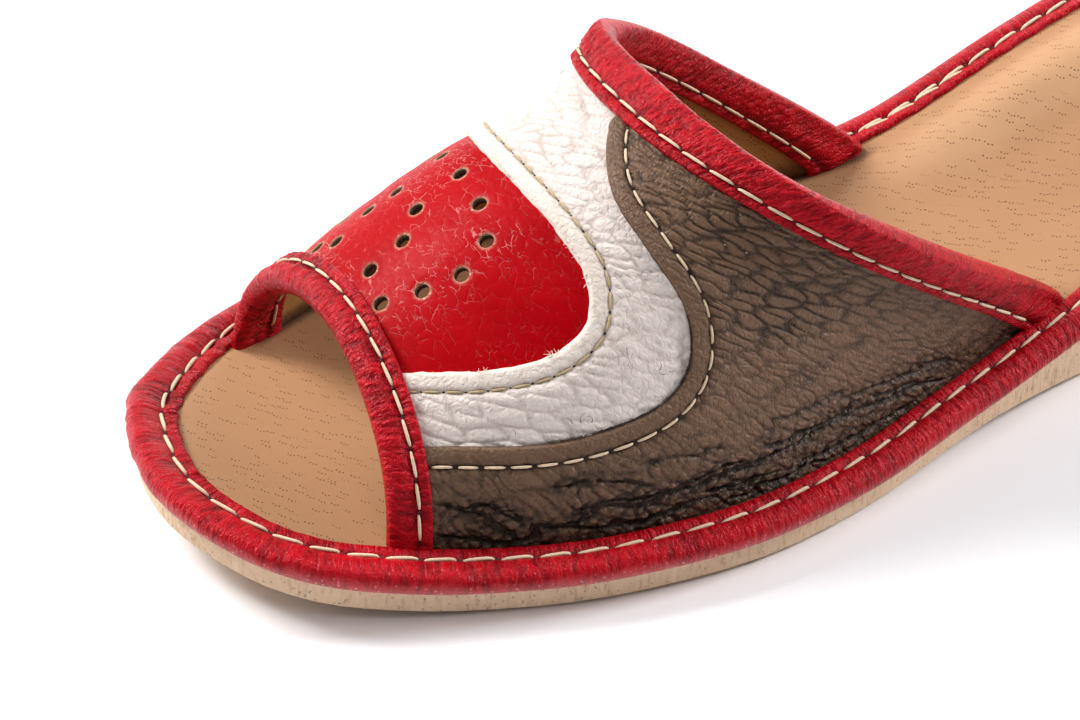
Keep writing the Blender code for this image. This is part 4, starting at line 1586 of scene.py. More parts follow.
    def build_side_panel(self, side: Side) -> None:
        """Taupe side panel from the foot up to the throat.

        Args:
            side: Lateral or medial.
        """
        lateral = side is Side.LATERAL
        count, rows = (440, 210) if lateral else (200, 90)
        knots = np.array([(float(mirrored(share, side)), place) for place, share in BROWN_LINE])
        edge = self.line(knots, count + 1)
        t = np.linspace(0.0, 1.0, count + 1)
        foot_across = -0.014 if lateral else 1.014
        foot_place = self.margin + (1 - 2 * self.margin) * (0.3 * edge[:, 1] + 0.7 * t)
        foot = np.stack([np.full(count + 1, foot_across), foot_place], axis=-1)
        fuzz = smoothstep(t, 0.22, 0.30) * (1 - smoothstep(t, 0.46, 0.60))
        lip = 0.10 + 0.42 * fuzz * soft_noise(t * 40, t * 0, 48)
        name = side.name.lower() + "_side_panel"
        piece, across, place, depth, shift = self.fold_sheet(name, edge, foot, rows, lip)
        reach = self.reach_from(self.last.form(across, place), edge)
        up = across if lateral else 1.0 - across
        x, y = self.last.chart(up, place)
        height, relief = self.side_relief(x, y, place, reach, lateral)
        place_points(piece, self.last.skin(across, place, (height - depth) * MM) + shift)
        paint(piece, "relief", relief)
        face_outwards(piece, self.last.normal(across, place))
        dress(piece, [self.finishes.brown, self.finishes.raw_brown_and_hole_shade])
        weld(piece, 1e-8, recalculate=False)
        close_ends(piece, recalculate=False)
        finish_piece(piece)
        self.add_seam(side.name, edge, self.brown_seam, foot, self.brown_height - 0.28, *self.brown_stitch)

    def side_relief(self, x: Array, y: Array, place: Array, reach: Array,
                    lateral: bool) -> tuple[Array, Array]:
        """Relief of a side panel.

        Args:
            x: Flat coordinate along the shoe, in millimetres.
            y: Flat coordinate up from the foot, in millimetres.
            place: Place between toe opening and throat.
            reach: Distance from the cut edge, in millimetres.
            lateral: Whether this is the lateral panel, whose creases are listed.

        Returns:
            Height over the form in millimetres, and the relief that the finish reads as painted shade and
            highlight.
        """
        sewn = self.lap_profile(reach, self.brown_seam)
        open_grain = smoothstep(reach, 1.0, self.brown_seam + 1.5)
        warp_x, warp_y = (2.0 * soft_noise(x / 4, y / 4, seed) for seed in (41, 42))
        x1, y1 = turned(x + warp_x, y + warp_y, -76)
        cells = pebbles(x1 / 5.0, y1 / 2.3, 43)
        small = pebbles(x1 / 3.2, y1 / 1.3, 44)
        strength = 0.65 + 0.35 * soft_noise(x / 11, y / 11, 45)
        upper = smoothstep(y, 12.0, 30.0)
        seams = -0.34 * (1 - smoothstep(cells, 0.0, 0.46)) * strength * (0.40 + 0.60 * upper)
        grain = seams - 0.13 * (1 - smoothstep(small, 0.0, 0.5)) * (1.0 - 0.5 * upper) + 0.06
        grain = grain * (0.25 + 0.75 * open_grain)
        waves = 0.5 * (soft_noise(x / 10, y / 10, 46) - 0.5)
        creases, near = crease_relief(place, y)
        if not lateral:
            creases, near = 0.5 * creases, 0.5 * near
        x2, y2 = turned(x + 0.8 * soft_noise(x / 2, y / 2, 49), y, 50)
        rope = pebbles(x2 / 2.6, y2 / 1.5, 47)
        ropes = -0.38 * near * (1 - smoothstep(rope, 0.0, 0.55)) * (1 - smoothstep(y, 11.0, 16.0))
        folds = np.maximum((creases + ropes) * open_grain, -0.85)
        base = self.lap_height(reach, self.brown_height, self.brown_far)
        # Painted shade in the grain's seams, the creases and the stitch groove, painted highlight on the
        # crowns; the relief also darkens the panel towards the foot
        relief = grain * 1.7 + folds * 0.95 - 0.16 * (1 - smoothstep(y, 2.0, 15.0))
        relief = relief - 0.45 * bell(reach - self.brown_seam, 0.5)
        return base + sewn + grain + waves * open_grain + folds, relief

    def build(self) -> None:
        """Build all layers, from the lining outwards."""
        self.build_lining()
        self.build_red_centre()
        self.build_white_band()
        for side in Side:
            self.build_side_panel(side)


# Section of a binding strip from its outer hem over the edge to its inner hem.
# Columns: share of the strip's width, share of the inner hem's extra width, shift and height
# over the form in millimetres
BINDING_SECTION = (
    (1.0, 0, 0.00, -0.25), (1.0, 0, 0.00, 0.40), (1.0, 0, -0.25, 0.72), (1.0, 0, -1.10, 0.80),
    (1.0, 0, -1.70, 0.60), (1.0, 0, -2.05, 0.42), (1.0, 0, -2.45, 0.70), (1.0, 0, -3.10, 1.05),
    (0.4, 0, 0.00, 1.30), (0.2, 0, 0.00, 1.25), (0.0, 0, 0.50, 0.95), (0.0, 0, 0.02, 0.20),
    (0.0, 0, -0.25, -1.00), (0.0, 0, 0.00, -2.10), (0.0, 0, 0.55, -3.00), (0.2, 0, 0.30, -3.42),
    (0.5, 0, 0.00, -3.50), (1.0, 0, -3.00, -3.42), (1.0, 0, -2.10, -3.15), (1.0, 0, -1.20, -3.42),
    (1.0, 1, -0.35, -3.38), (1.0, 1, 0.00, -3.10), (1.0, 1, 0.00, -2.70),
)
BINDING_BACK = ((0.5, 0, 0.0, -2.65), (0.0, 0, 1.1, -2.60), (0.0, 0, 1.1, -0.10), (0.5, 0, 0.0, -0.35))


def fine_wrinkles(along: Array, around: Array, pitch: float, seed: int) -> Array:
    """Short cross wrinkles of gathered thin leather: 0 in the furrows, 1 on the ridges.

    Args:
        along: Distance along the strip, in millimetres.
        around: Distance round its section.
        pitch: Usual distance between wrinkles.
        seed: Which of the fixed patterns.

    Returns:
        The wrinkles at each point.
    """
    drift = along + 0.8 * pitch * (soft_noise(along / 4, around / 2.4, seed) - 0.5) * 2
    first = np.abs(2 * soft_noise(drift / (pitch * 0.55), around / 2.6, seed + 1) - 1)
    second = np.abs(2 * soft_noise(drift / (pitch * 0.33), around / 1.1, seed + 2) - 1)
    return np.clip(0.55 * first ** 0.7 + 0.45 * second, 0.0, 1.0)


@dataclass
class Binding:
    """A red strip folded over one of the vamp's edges."""

    last: Last
    finishes: Finishes
    opening: Opening
    width: float
    length_steps: int
    section_steps: int
    pitch: float
    seed: int
    inner_extra: float
    flare: tuple[float, float]
    tuck: float = 0.026
    hem_seam: float = 2.05
    middle_height: float = -1.2
    outer_thread: float = 0.52
    inner_thread: float = 0.50
    seams: list = field(default_factory=list)

    def section(self) -> Array:
        """Distance from the edge and height over the form of the strip's section, in millimetres."""
        width = self.width / MM
        front, back = (np.array([(share * width + extra * self.inner_extra + shift, height)
                                 for share, extra, shift, height in rows])
                       for rows in (BINDING_SECTION, BINDING_BACK))
        dense = smooth_path(front, 40 * len(front))
        run = run_along(dense)
        dense = resample(dense, run, np.linspace(0.0, run[-1], self.section_steps - len(back)))
        return np.vstack([dense, back])

    def build(self) -> None:
        """Build the strip and remember its two seams."""
        section = self.section()
        total = len(section)
        piece, u, v = cut_grid(self.opening.value + "_strip", total, self.length_steps)
        around = np.round(u * total).astype(int) % total
        across = -self.tuck + (1.0 + 2 * self.tuck) * v
        step = np.round(v * self.length_steps).astype(int)
        distance, height = section[around, 0], section[around, 1]
        rows = np.linspace(-self.tuck, 1.0 + self.tuck, self.length_steps + 1)
        runs = np.array([self.length_along(a) for a in rows])
        along = np.interp(across, rows, runs)
        profile = run_along(section)
        place = self.places(rows, section[:, 0])[step, around]
        on_top = profile[around]
        wrinkle = fine_wrinkles(along, on_top, 1.0, self.seed)
        lumps = soft_noise(along / 6, on_top / 5, self.seed + 5) - 0.5
        shown = 1.0 * (around < total - len(BINDING_BACK))
        hem = bell(distance - self.width / MM, 0.35)
        strength = (0.46 - 0.20 * hem) * (0.60 + 0.7 * soft_noise(along / 9, on_top / 9, self.seed + 6))
        relief = (wrinkle - 0.6) * strength + 0.22 * lumps
        sign = np.where(height > -1.3, 1.0, -1.0)
        foot = smoothstep(np.abs(across - 0.5), 0.38, 0.50)
        slim = 1.0 - 0.40 * foot * (1.0 - smoothstep(distance, 1.5, 5.5))
        height = self.middle_height + (height - self.middle_height) * slim + sign * relief * shown
        base = self.last.form(across, place) + self.last.normal(across, place) * (height * MM)[:, None]
        beyond = np.minimum(distance, 0.0)
        lateral, medial = self.flare
        reach = lateral * smoothstep(0.16 - across, 0.0, 0.16) + medial * smoothstep(across, 0.84, 1.0)
        beyond = beyond - reach * np.clip(1.0 - distance * MM / self.width, 0.0, 1.0)
        base += self.pull(rows)[step] * (beyond * MM)[:, None]
        place_points(piece, base)
        groove = bell(distance - self.width / MM + self.hem_seam, 0.5)
        # Painted shade in the wrinkles' furrows and along the stitch groove, painted highlight on their
        # ridges
        paint(piece, "relief", ((wrinkle - 0.60) * 0.8 + lumps * 0.25 - 0.45 * groove) * shown)
        paint(piece, "dust", np.zeros(len(around)))
        scale_uv(piece, profile[-1] * MM, runs[-1] * MM)
        weld(piece)
        close_ends(piece)
        dress(piece, [self.finishes.red])
        finish_piece(piece, (self.opening.value,))
        self.remember_seams()

    def length_along(self, across: float) -> float:
        """Distance along the bound edge, in millimetres."""
        place = 0.0 if self.opening is Opening.TOE else 1.0
        return float(across * np.interp(place, self.last.places, self.last.arch_run) / MM)

    def places(self, rows: Array, distances: Array) -> Array:
        """Places of all section points, one row for each step along the edge."""
        inside = np.maximum(distances, 0.0) * MM
        return np.array([self.last.from_edge(float(np.clip(a, 0, 1)), inside, self.opening) for a in rows])

    def pull(self, rows: Array) -> Array:
        """Direction from the edge into the vamp, for each step along it."""
        a = np.clip(rows, 0.0, 1.0)
        near, far = (0.0, 0.03) if self.opening is Opening.TOE else (1.0, 0.97)
        return unit(self.last.form(a, np.full(len(a), far)) - self.last.form(a, np.full(len(a), near)))

    def remember_seams(self) -> None:
        """Seams on the strip's outer and inner face, along its hem."""
        rows = np.linspace(0.012, 0.988, 260)
        distance = self.width / MM - self.hem_seam
        place = self.places(rows, np.array([distance]))[:, 0]
        normal = self.last.normal(rows, place)
        form = self.last.form(rows, place)
        outer, inner = form + normal * 0.55 * MM, form - normal * 3.25 * MM
        thick, thin = self.outer_thread * MM, self.inner_thread * MM
        self.seams = [
            Seam(outer, normal, self.pitch * MM, thick, 0.90, 0.04, 0.05 * MM),
            Seam(inner, -normal, self.pitch * MM, thin, 0.90, 0.0, 0.05 * MM),
        ]


# Section of the rolled rim from its outer foot over the roll and the seam to its inner edge.
# Columns: share of the rim's width, shift and height over the sole in millimetres
RIM_SECTION = (
    (0.0, 0.45, 0.10), (0.0, -0.25, 0.22), (0.0, -0.95, 0.85), (0.0, -1.28, 1.80), (0.0, -1.05, 2.85),
    (0.0, -0.35, 3.80), (0.2, -0.05, 4.45), (0.40, 0.05, 4.42), (1.0, -2.60, 3.95), (1.0, -2.25, 3.68),
    (1.0, -1.85, 3.95), (1.0, -1.10, 4.22), (1.0, -0.25, 4.15), (1.0, 0.25, 3.80), (1.0, 0.20, 3.20),
    (1.0, -0.40, 2.60),
)
RIM_BACK = ((0.80, 0.0, 1.2), (0.50, 0.0, 0.25))


@dataclass
class Rim:
    """Red leather roll round the insole, with its seam and gathers."""

    last: Last
    finishes: Finishes
    turns: int = 2080
    section_steps: int = 40
    pitch: float = 6.0
    gather_pitch: float = 3.4
    seam_inset: float = 2.25
    seam_height: float = 3.72
    seams: list = field(default_factory=list)

    def section(self) -> Array:
        """Share, shift and height of the section's points."""
        dense = smooth_path(np.array(RIM_SECTION), 40 * len(RIM_SECTION))
        run = run_along(self.flat_section(dense))
        dense = resample(dense, run, np.linspace(0.0, run[-1], self.section_steps - len(RIM_BACK)))
        return np.vstack([dense, np.array(RIM_BACK)])

    def flat_section(self, section: Array) -> Array:
        """Inset and height of a section's points where the rim is narrow, in millimetres."""
        return np.stack([section[:, 0] * self.last.rim_width / MM + section[:, 1], section[:, 2]], axis=-1)

    def build(self) -> None:
        """Build the roll and remember its seam."""
        section = self.section()
        total = len(section)
        piece, u, v = cut_grid("rim_roll", total, self.turns)
        around = np.round(u * total).astype(int) % total
        turn = (np.round(v * self.turns).astype(int) % self.turns) / self.turns
        outline, outward = self.last.girdle(turn)
        run = turn * self.last.girth / MM
        width = self.last.rim(outline[:, 1]) / MM
        inset = section[around, 0] * width + section[around, 1]
        height = section[around, 2]
        flat = self.flat_section(section)
        profile = run_along(flat)[around]
        shown = 1.0 * (around < total - len(RIM_BACK))
        relief, push = self.relief(run, profile, inset, width, outline[:, 1], turn)
        ahead = unit(np.roll(flat, -1, axis=0) - np.roll(flat, 1, axis=0))[around]
        inset = inset + ahead[:, 1] * push * shown
        height = height + ahead[:, 0] * push * shown
        xy = outline - outward * (inset * MM)[:, None]
        z = self.last.sole_top(xy[:, 1]) + height * MM
        place_points(piece, self.last.centred(xy[:, 0], xy[:, 1], z))
        paint(piece, "relief", relief * shown)
        low = 1.0 - smoothstep(section[around, 2], 0.9, 3.3)
        front = smoothstep(outline[:, 1] / self.last.length, 0.55, 0.30)
        paint(piece, "dust", low * (0.35 + 0.65 * front) * (around < total // 2))
        scale_uv(piece, float(run_along(flat)[-1]) * MM, self.last.girth)
        weld(piece)
        dress(piece, [self.finishes.red])
        finish_piece(piece, ("rim_binding",))
        self.remember_seam()

    def relief(self, run: Array, profile: Array, inset: Array, width: Array, y: Array,
               turn: Array) -> tuple[Array, Array]:
        """Wrinkles and gathers of the roll.

        Args:
            run: Distance round the shoe, in millimetres.
            profile: Distance round the section, in millimetres.
            inset: Distance inside the outline, in millimetres.
            width: The rim's width there, in millimetres.
            y: Distance from the toe's tip.
            turn: Share of the way round.

        Returns:
            The relief that the finish reads as painted shade and highlight, and the push outwards in
            millimetres.
        """
        toe = smoothstep(1.0 - y / (0.30 * self.last.length), 0.0, 0.7)
        medial_back = smoothstep(turn, 0.18, 0.30) * (1 - smoothstep(turn, 0.42, 0.52))
        wrinkle = fine_wrinkles(run, profile, 1.2, 80)
        lumps = soft_noise(run / 5, profile / 4, 83) - 0.5
        patch = 0.45 + 0.8 * soft_noise(run / 16, profile / 9, 84)
        strength = (0.36 - 0.20 * medial_back - 0.08 * toe) * patch
        from_seam = inset - width + self.seam_inset
        wave = soft_noise(run / self.gather_pitch, profile / 30, 85)
        gather = (np.abs(2 * wave - 1) ** 0.8 - 0.55) * toe * (0.35 + 0.65 * bell(from_seam, 1.9))
        stitch_phase = 0.5 + 0.5 * np.cos(2 * math.pi * run / self.seam_step())
        pinch = -0.42 * stitch_phase * bell(from_seam, 0.7)
        scallop = 0.26 * (1 - stitch_phase) * smoothstep(inset - width, -0.9, 0.1)
        push = (wrinkle - 0.6) * strength + 0.28 * lumps * (0.6 + toe) + 0.65 * gather + pinch + scallop
        # Painted shade in the furrows, the gathers' folds and the seam's groove, painted highlight on the
        # ridges
        relief = (wrinkle - 0.60) * 0.7 * (1 - 0.5 * medial_back) + 0.3 * lumps + 0.6 * gather
        return relief - 0.45 * bell(from_seam, 0.55), push

    def seam_step(self) -> float:
        """Exact length of one stitch round the rim, in millimetres."""
        girth = self.last.girth / MM
        return girth / round(girth / self.pitch)

    def remember_seam(self) -> None:
        """Seam round the whole rim, in the groove between roll and inner edge."""
        turn = np.linspace(0.0, 1.0, 1500)
        outline, outward = self.last.girdle(turn)
        width = self.last.rim(outline[:, 1])
        xy = outline - outward * (width - self.seam_inset * MM)[:, None]
        z = self.last.sole_top(xy[:, 1]) + self.seam_height * MM
        points = self.last.centred(xy[:, 0], xy[:, 1], z)
        normals = np.stack([np.zeros(len(turn)), np.zeros(len(turn)), np.ones(len(turn))], axis=-1)
        normals[:, :2] += outward * 0.15
        girth = run_along(points)[-1]
        pitch = girth / round(self.last.girth / MM / self.pitch)
        self.seams = [Seam(points, unit(normals), pitch, 0.64 * MM, 0.91, 0.08, closed=True)]
        medial = turn[turn < self.last.heel_turn]
        station = outline[:len(medial), 1] / self.last.length
        twice = (turn[:len(medial)] > self.last.heel_turn * 0.2) & (station > 0.572) & (station < 0.650)
        chosen = np.flatnonzero(twice)
        beside = points[chosen] - np.hstack([outward[chosen] * 0.75 * MM, np.zeros((len(chosen), 1))])
        self.seams.append(Seam(beside, unit(normals[chosen]), 5.2 * MM, 0.60 * MM, 0.97, -0.12, 0.15 * MM))


@dataclass
class Insole:
    """Pigskin bed inside the rim, raised along the inner arch."""

    last: Last
    finishes: Finishes
    tuck: float = 1.2
    thickness: float = 2.6
    hide_turn: float = 42.0
    columns: int = 110
    rows: int = 230

    def build(self) -> None:
        """Build the bed as a draped sheet with thickness."""
        piece, u, v = cut_grid("insole_cover", self.columns, self.rows)
        inset = self.last.rim(self.last.curve[:, 1]) - self.tuck * MM
        moved = self.last.curve - self.last.outward * inset[:, None]
        low, high = moved[:, 1].min(), moved[:, 1].max()
        y = low + (high - low) * (1 - np.cos(math.pi * v)) / 2
        left = self.last.side_x(y, -1, inset)
        right = self.last.side_x(y, 1, inset)
        x = left + (right - left) * u
        height = self.surface(x, y, u, left, right)
        place_points(piece, self.last.centred(x, y, height))
        # Painted shade and highlight: the bed is darker where it lies low and lighter where it rises
        shade = (height - self.last.sole_top(y) - self.last.insole_thickness) / MM
        paint(piece, "relief", np.clip(0.35 * shade, -0.7, 0.6))
        # Painted shade along the vamp's inside
        paint(piece, "soil", self.contact_shade_line(x, y, left, right))
        weld(piece, recalculate=False)
        self.lay_uv(piece)
        face_outwards(piece, np.tile((0.0, 0.0, 1.0), (len(piece.data.vertices), 1)))
        dress(piece, [self.finishes.pigskin])
        thicken(piece, self.thickness * MM)
        finish_piece(piece, ("insole",))

    def contact_shade_line(self, x: Array, y: Array, left: Array, right: Array) -> Array:
        """Painted shade: a dark line in the corner where the vamp's inside meets the bed."""
        (front_l, front_m), (back_l, back_m) = ARCHES[[0, -1], :2] * self.last.length
        lateral = (1 - smoothstep((right - x) / MM, 4.3, 6.0)) * smoothstep(y, front_l, front_l + 0.006) * (
            1 - smoothstep(y, back_l - 0.004, back_l + 0.004))
        medial = (1 - smoothstep((x - left) / MM, 4.4, 6.2)) * smoothstep(y, front_m, front_m + 0.004) * (
            1 - smoothstep(y, back_m - 0.002, back_m + 0.006))
        return 0.9 * np.maximum(lateral, medial)

    def surface(self, x: Array, y: Array, share: Array, left: Array, right: Array) -> Array:
        """Height of the bed: level, with an arch ridge, a hollow beside it and soft waves."""
        start, end = self.last.ridge_shares
        along = np.clip((y / self.last.length - start) / (end - start), 0.0, 1.0)
        ridge = bell(share - 0.22, 0.13) * smoothstep(share / 0.14)
        rise = self.last.ridge_height * np.sin(math.pi * along) ** 2 * ridge
        hollow = -0.9 * MM * bell(share - 0.62, 0.2) * bell(y / self.last.length - 0.66, 0.10)
        waves = 0.5 * MM * (soft_noise(x / (22 * MM), y / (22 * MM), 91) - 0.5)
        edge = np.minimum(x - left, right - x) / MM
        roll = -0.35 * MM * (1 - smoothstep(edge, 0.4, 3.5))
        return self.last.sole_top(y) + self.last.insole_thickness + rise + hollow + waves + roll

    def lay_uv(self, piece: Piece) -> None:
        """Lay the UV map flat from above, in metres, turned as the hide was cut.

        Args:
            piece: The cover.
        """
        mesh = piece.data
        points = points_of(piece)
        loops = np.empty(len(mesh.loops), np.int32)
        mesh.loops.foreach_get("vertex_index", loops)
        a, b = turned(points[loops, 0], points[loops, 1], self.hide_turn)
        mesh.uv_layers[0].data.foreach_set("uv", np.stack([a, b], axis=-1).astype(np.float32).ravel())


class Fluff:
    """Loose fibres: tufts on the white cut edge and dark hairs on the band."""

    # Columns: share of the way along the red line from the lateral front, and length in millimetres
    TUFTS = ((0.035, 1.0), (0.13, 1.3), (0.205, 1.5), (0.30, 1.5), (0.335, 1.3), (0.46, 0.9), (0.60, 0.8))
    # Columns: across, place, direction in degrees, length in millimetres, curl
    HAIRS = ((0.262, 0.452, 250.0, 3.6, 0.5), (0.218, 0.462, 20.0, 2.4, 2.2),
             (0.212, 0.470, 200.0, 2.0, -2.6), (0.184, 0.285, 70.0, 2.4, 2.4),
             (0.182, 0.300, 120.0, 2.2, -2.2), (0.180, 0.312, 30.0, 1.8, 2.8),
             (0.214, 0.476, 300.0, 1.6, 2.0), (0.190, 0.200, 60.0, 1.2, 2.0))

    EDGE_FIBRES = 300
    TUFT_FIBRES = 9
    DARK_HAIRS = 520

    def __init__(self, last: Last, finishes: Finishes, vamp: Vamp) -> None:
        """Take the form, the finishes and the vamp whose edges carry the fibres."""
        self.last = last
        self.finishes = finishes
        self.vamp = vamp

    @staticmethod
    def strand(path: Array, radius: float) -> tuple[Array, list]:
        """A tapered three-sided strand along a path of points.

        Args:
            path: Points of its middle line.
            radius: Its radius at the root.

        Returns:
            Its points and faces.
        """
        ahead = unit(np.gradient(path, axis=0))
        side = unit(np.cross(ahead, (0.3, 0.5, 0.8)))
        other = np.cross(ahead, side)
        taper = radius * np.linspace(1.0, 0.25, len(path))[:, None]
        rings = []
        for k in range(3):
            angle = 2 * math.pi * k / 3
            rings.append(path + taper * (side * math.cos(angle) + other * math.sin(angle)))
        points = np.stack(rings, axis=1).reshape(-1, 3)
        faces = []
        for i in range(len(path) - 1):
            for k in range(3):
                n = (k + 1) % 3
                faces.append([3 * i + k, 3 * i + n, 3 * i + 3 + n, 3 * i + 3 + k])
        faces += [[2, 1, 0], [3 * len(path) - 3, 3 * len(path) - 2, 3 * len(path) - 1]]
        return points, faces

    def edge_fibres(self) -> None:
        """Short fibres all along the white band's cut edge, longer in the tufts."""
        rng = np.random.default_rng(7)
        edge = self.vamp.line(both_sides(RED_LINE), 900)
        form, normal, along = self.last.along_line(edge)
        inward = unit(np.cross(along, normal))
        middle = self.last.form(CREST, 0.25)
        inward *= np.sign(((middle - form) * inward).sum(axis=1))[:, None]
        spots = [(s, 0.15 + 0.22 * rng.random(), 0.035) for s in rng.random(self.EDGE_FIBRES)]
        for share, length in self.TUFTS:
            for _ in range(self.TUFT_FIBRES):
                spots.append((share + 0.005 * rng.normal(), length * (0.25 + 0.5 * rng.random()), 0.085))
        strands = []
        for share, length, radius in spots:
            i = int(np.clip(share, 0.0, 0.999) * len(form))
            lean = along[i] * rng.normal() * 0.55 + normal[i] * (rng.random() - 0.25) * 0.8
            t = np.linspace(0.0, 1.0, 4)[:, None]
            height = self.vamp.white_height - 0.5 * rng.random()
            start = form[i] + normal[i] * height * MM - inward[i] * 0.15 * MM
            path = start + (inward[i] * t + lean * t ** 1.6) * length * MM
            strands.append(self.strand(path, radius * MM))
        join_shapes("white_edge_fibres", strands, self.finishes.fluff, 1e-9)

    def hairs(self) -> None:
        """Dark loose hairs on the white band beside the taupe edge."""
        rng = np.random.default_rng(11)
        strands = []
        for across, place, angle, length, curl in self.HAIRS:
            point = self.last.form(across, place)
            normal = self.last.normal(across, place)
            ahead = unit(self.last.form(across, place + 0.01) - point)
            side = np.cross(normal, ahead)
            heading = math.radians(angle) + curl * np.linspace(0.0, 1.0, 12)
            steps = np.cos(heading)[:, None] * ahead + np.sin(heading)[:, None] * side
            path = point + np.cumsum(steps, axis=0) * length * MM / 12
            rise = self.vamp.white_height + 0.25 + 0.5 * np.sin(np.linspace(0.2, 2.6, 12)) * rng.random()
            strands.append(self.strand(path + normal * (rise * MM)[:, None], 0.065 * MM))
        knots = np.array([(float(mirrored(share, Side.LATERAL)), place) for place, share in BROWN_LINE])
        edge = self.vamp.line(knots, 600)
        form, normal, ahead = self.last.along_line(edge)
        for _ in range(self.DARK_HAIRS):
            i = int(rng.uniform(0.24, 0.56) * len(form))
            off_edge = unit(form[i] - self.last.form(0.02, edge[i, 1]))
            away = 0.35 * off_edge + ahead[i] * rng.normal()
            t = np.linspace(0.0, 1.0, 4)[:, None]
            clear = off_edge * rng.uniform(0.05, 0.45) * MM
            start = form[i] + clear + normal[i] * (self.vamp.white_far + rng.uniform(0.15, 0.55)) * MM
            strands.append(self.strand(start + (away * t + normal[i] * 0.3 * t) * 0.5 * MM, 0.05 * MM))
        join_shapes("dark_edge_hairs", strands, self.finishes.hair, 1e-9)


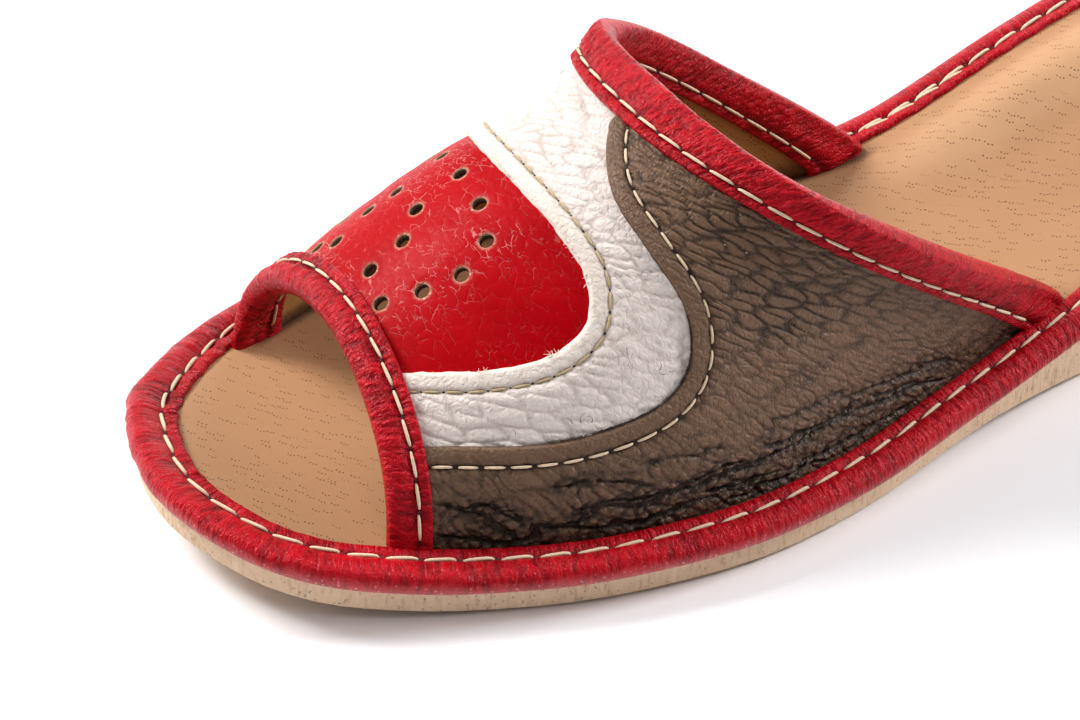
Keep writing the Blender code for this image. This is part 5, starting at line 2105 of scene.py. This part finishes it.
class Studio:
    """Plain pale floor, soft light and the photograph's camera."""

    AZIMUTH = 57.669
    ELEVATION = 39.143
    ROLL = 1.913
    DISTANCE = 0.66193
    FOCAL_PIXELS = 4078.4
    PHOTO_WIDTH = 1080.0
    SENSOR = 36.0
    TARGET = (-0.01283, -0.05333, 0.0)
    FLOOR_SIZE = 6.0
    # Strength of the sky on its dark and on its bright side
    SKY = (0.07, 0.47)
    # Columns: name, place, width, watts, colour
    LAMPS = (
        ("left_window", (-2.3, -1.5, 2.2), 1.3, 158.0, (1.0, 0.985, 0.97)),
        ("right_back_window", (0.6, 2.6, 1.6), 0.9, 78.0, (1.0, 1.0, 1.0)),
        ("low_back_fill", (-2.2, 2.0, 0.8), 0.9, 16.0, (1.0, 0.985, 0.97)),
        ("high_fill", (0.4, -0.4, 2.6), 1.5, 13.0, (1.0, 1.0, 1.0)),
    )

    def camera(self) -> None:
        """Place the camera as the photograph's was."""
        a, e, r = (math.radians(v) for v in (self.AZIMUTH, self.ELEVATION, self.ROLL))
        forward = Vector((-math.sin(a) * math.cos(e), math.cos(a) * math.cos(e), -math.sin(e)))
        right = Vector((math.cos(a), math.sin(a), 0.0))
        up = right.cross(forward)
        right, up = right * math.cos(r) + up * math.sin(r), up * math.cos(r) - right * math.sin(r)
        data = bpy.data.cameras.new("camera")
        data.sensor_width = self.SENSOR
        data.lens = self.SENSOR * self.FOCAL_PIXELS / self.PHOTO_WIDTH
        data.clip_start, data.clip_end = 0.05, 20.0
        camera = bpy.data.objects.new("camera", data)
        turn = Matrix((right, up, -forward)).transposed()
        place = Vector(self.TARGET) - forward * self.DISTANCE
        camera.matrix_world = Matrix.Translation(place) @ turn.to_4x4()
        bpy.context.scene.collection.objects.link(camera)
        bpy.context.scene.camera = camera

    @staticmethod
    def lamp(name: str, place: tuple, size: float, power: float, colour: Colour) -> None:
        """Hang a soft square lamp that looks at the shoe.

        Args:
            name: The lamp's name.
            place: Where it hangs.
            size: Its width in metres.
            power: Its power in watts.
            colour: The light's colour.
        """
        data = bpy.data.lights.new(name, "AREA")
        data.size = size
        data.energy = power
        data.color = colour
        lamp = bpy.data.objects.new(name, data)
        lamp.location = place
        lamp.rotation_mode = "QUATERNION"
        lamp.rotation_quaternion = (-Vector(place)).to_track_quat("-Z", "Y")
        bpy.context.scene.collection.objects.link(lamp)

    def floor(self) -> None:
        """Lay a large white sheet under the shoe."""
        deselect()
        bpy.ops.mesh.primitive_grid_add(x_subdivisions=8, y_subdivisions=8, size=self.FLOOR_SIZE)
        sheet = bpy.context.object
        sheet.name = "studio_floor"
        material, g, shader = new_material("white_paper")
        place = g.add("TexCoord").outputs["Object"]
        cloud = g.noise(place, 3.0, 2.0).outputs["Fac"]
        g.feed(shader.inputs["Base Color"], g.mix(cloud, (0.90, 0.89, 0.91), (0.93, 0.92, 0.94)))
        g.feed(shader.inputs["Roughness"], 0.9)
        dress(sheet, [material])

    def build(self) -> None:
        """Set up camera, floor, sky and lamps."""
        self.camera()
        self.floor()
        world = bpy.data.worlds.new("studio")
        world.use_nodes = True
        g = Graph(world.node_tree)
        heading = g.add("TexCoord").outputs["Generated"]
        facing = g.vector("DOT_PRODUCT", heading, (-0.80, 0.10, 0.58))
        sky = world.node_tree.nodes["Background"]
        g.feed(sky.inputs["Color"], (1.0, 1.0, 1.0))
        g.feed(sky.inputs["Strength"], g.ease(facing, -0.7, 0.8, self.SKY))
        bpy.context.scene.world = world
        bpy.context.scene.view_settings.view_transform = "Standard"
        for row in self.LAMPS:
            self.lamp(*row)


def main() -> None:
    """Build the slipper's looks and report each piece."""
    logging.basicConfig(level=logging.INFO, format="%(message)s")
    last = Last()
    finishes = Finishes()
    vamp = Vamp(last, finishes)
    vamp.build()
    front = Binding(last, finishes, Opening.TOE, width=6.7 * MM, length_steps=420, section_steps=66,
                    pitch=4.9, seed=60, inner_extra=0.6, flare=(0.0, 2.0))
    throat = Binding(last, finishes, Opening.THROAT, width=8.8 * MM, length_steps=660, section_steps=78,
                     pitch=5.2, seed=70, inner_extra=0.2, flare=(1.0, 1.6))
    rim = Rim(last, finishes)
    for piece in (front, throat, rim, Insole(last, finishes)):
        piece.build()
    stitcher = Stitcher()
    brown_seams = [vamp.seams[side.name] for side in Side]
    white_seams = [vamp.seams["white"]]
    stitcher.sew("side_panel_stitches", brown_seams, finishes.cream)
    stitcher.sew("white_band_stitches", white_seams, finishes.olive)
    stitcher.sew("binding_stitches", front.seams + throat.seams, finishes.cream)
    stitcher.sew("rim_stitches", rim.seams, finishes.cream)
    seams = brown_seams + white_seams + front.seams + throat.seams + rim.seams
    stitcher.pierce("needle_holes", seams, finishes.shadow)
    fluff = Fluff(last, finishes, vamp)
    fluff.edge_fibres()
    fluff.hairs()
    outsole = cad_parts["outsole"]
    outsole.data.materials.clear()
    dress(outsole, [finishes.foam])
    Studio().build()


if __name__ == "__main__":
    main()
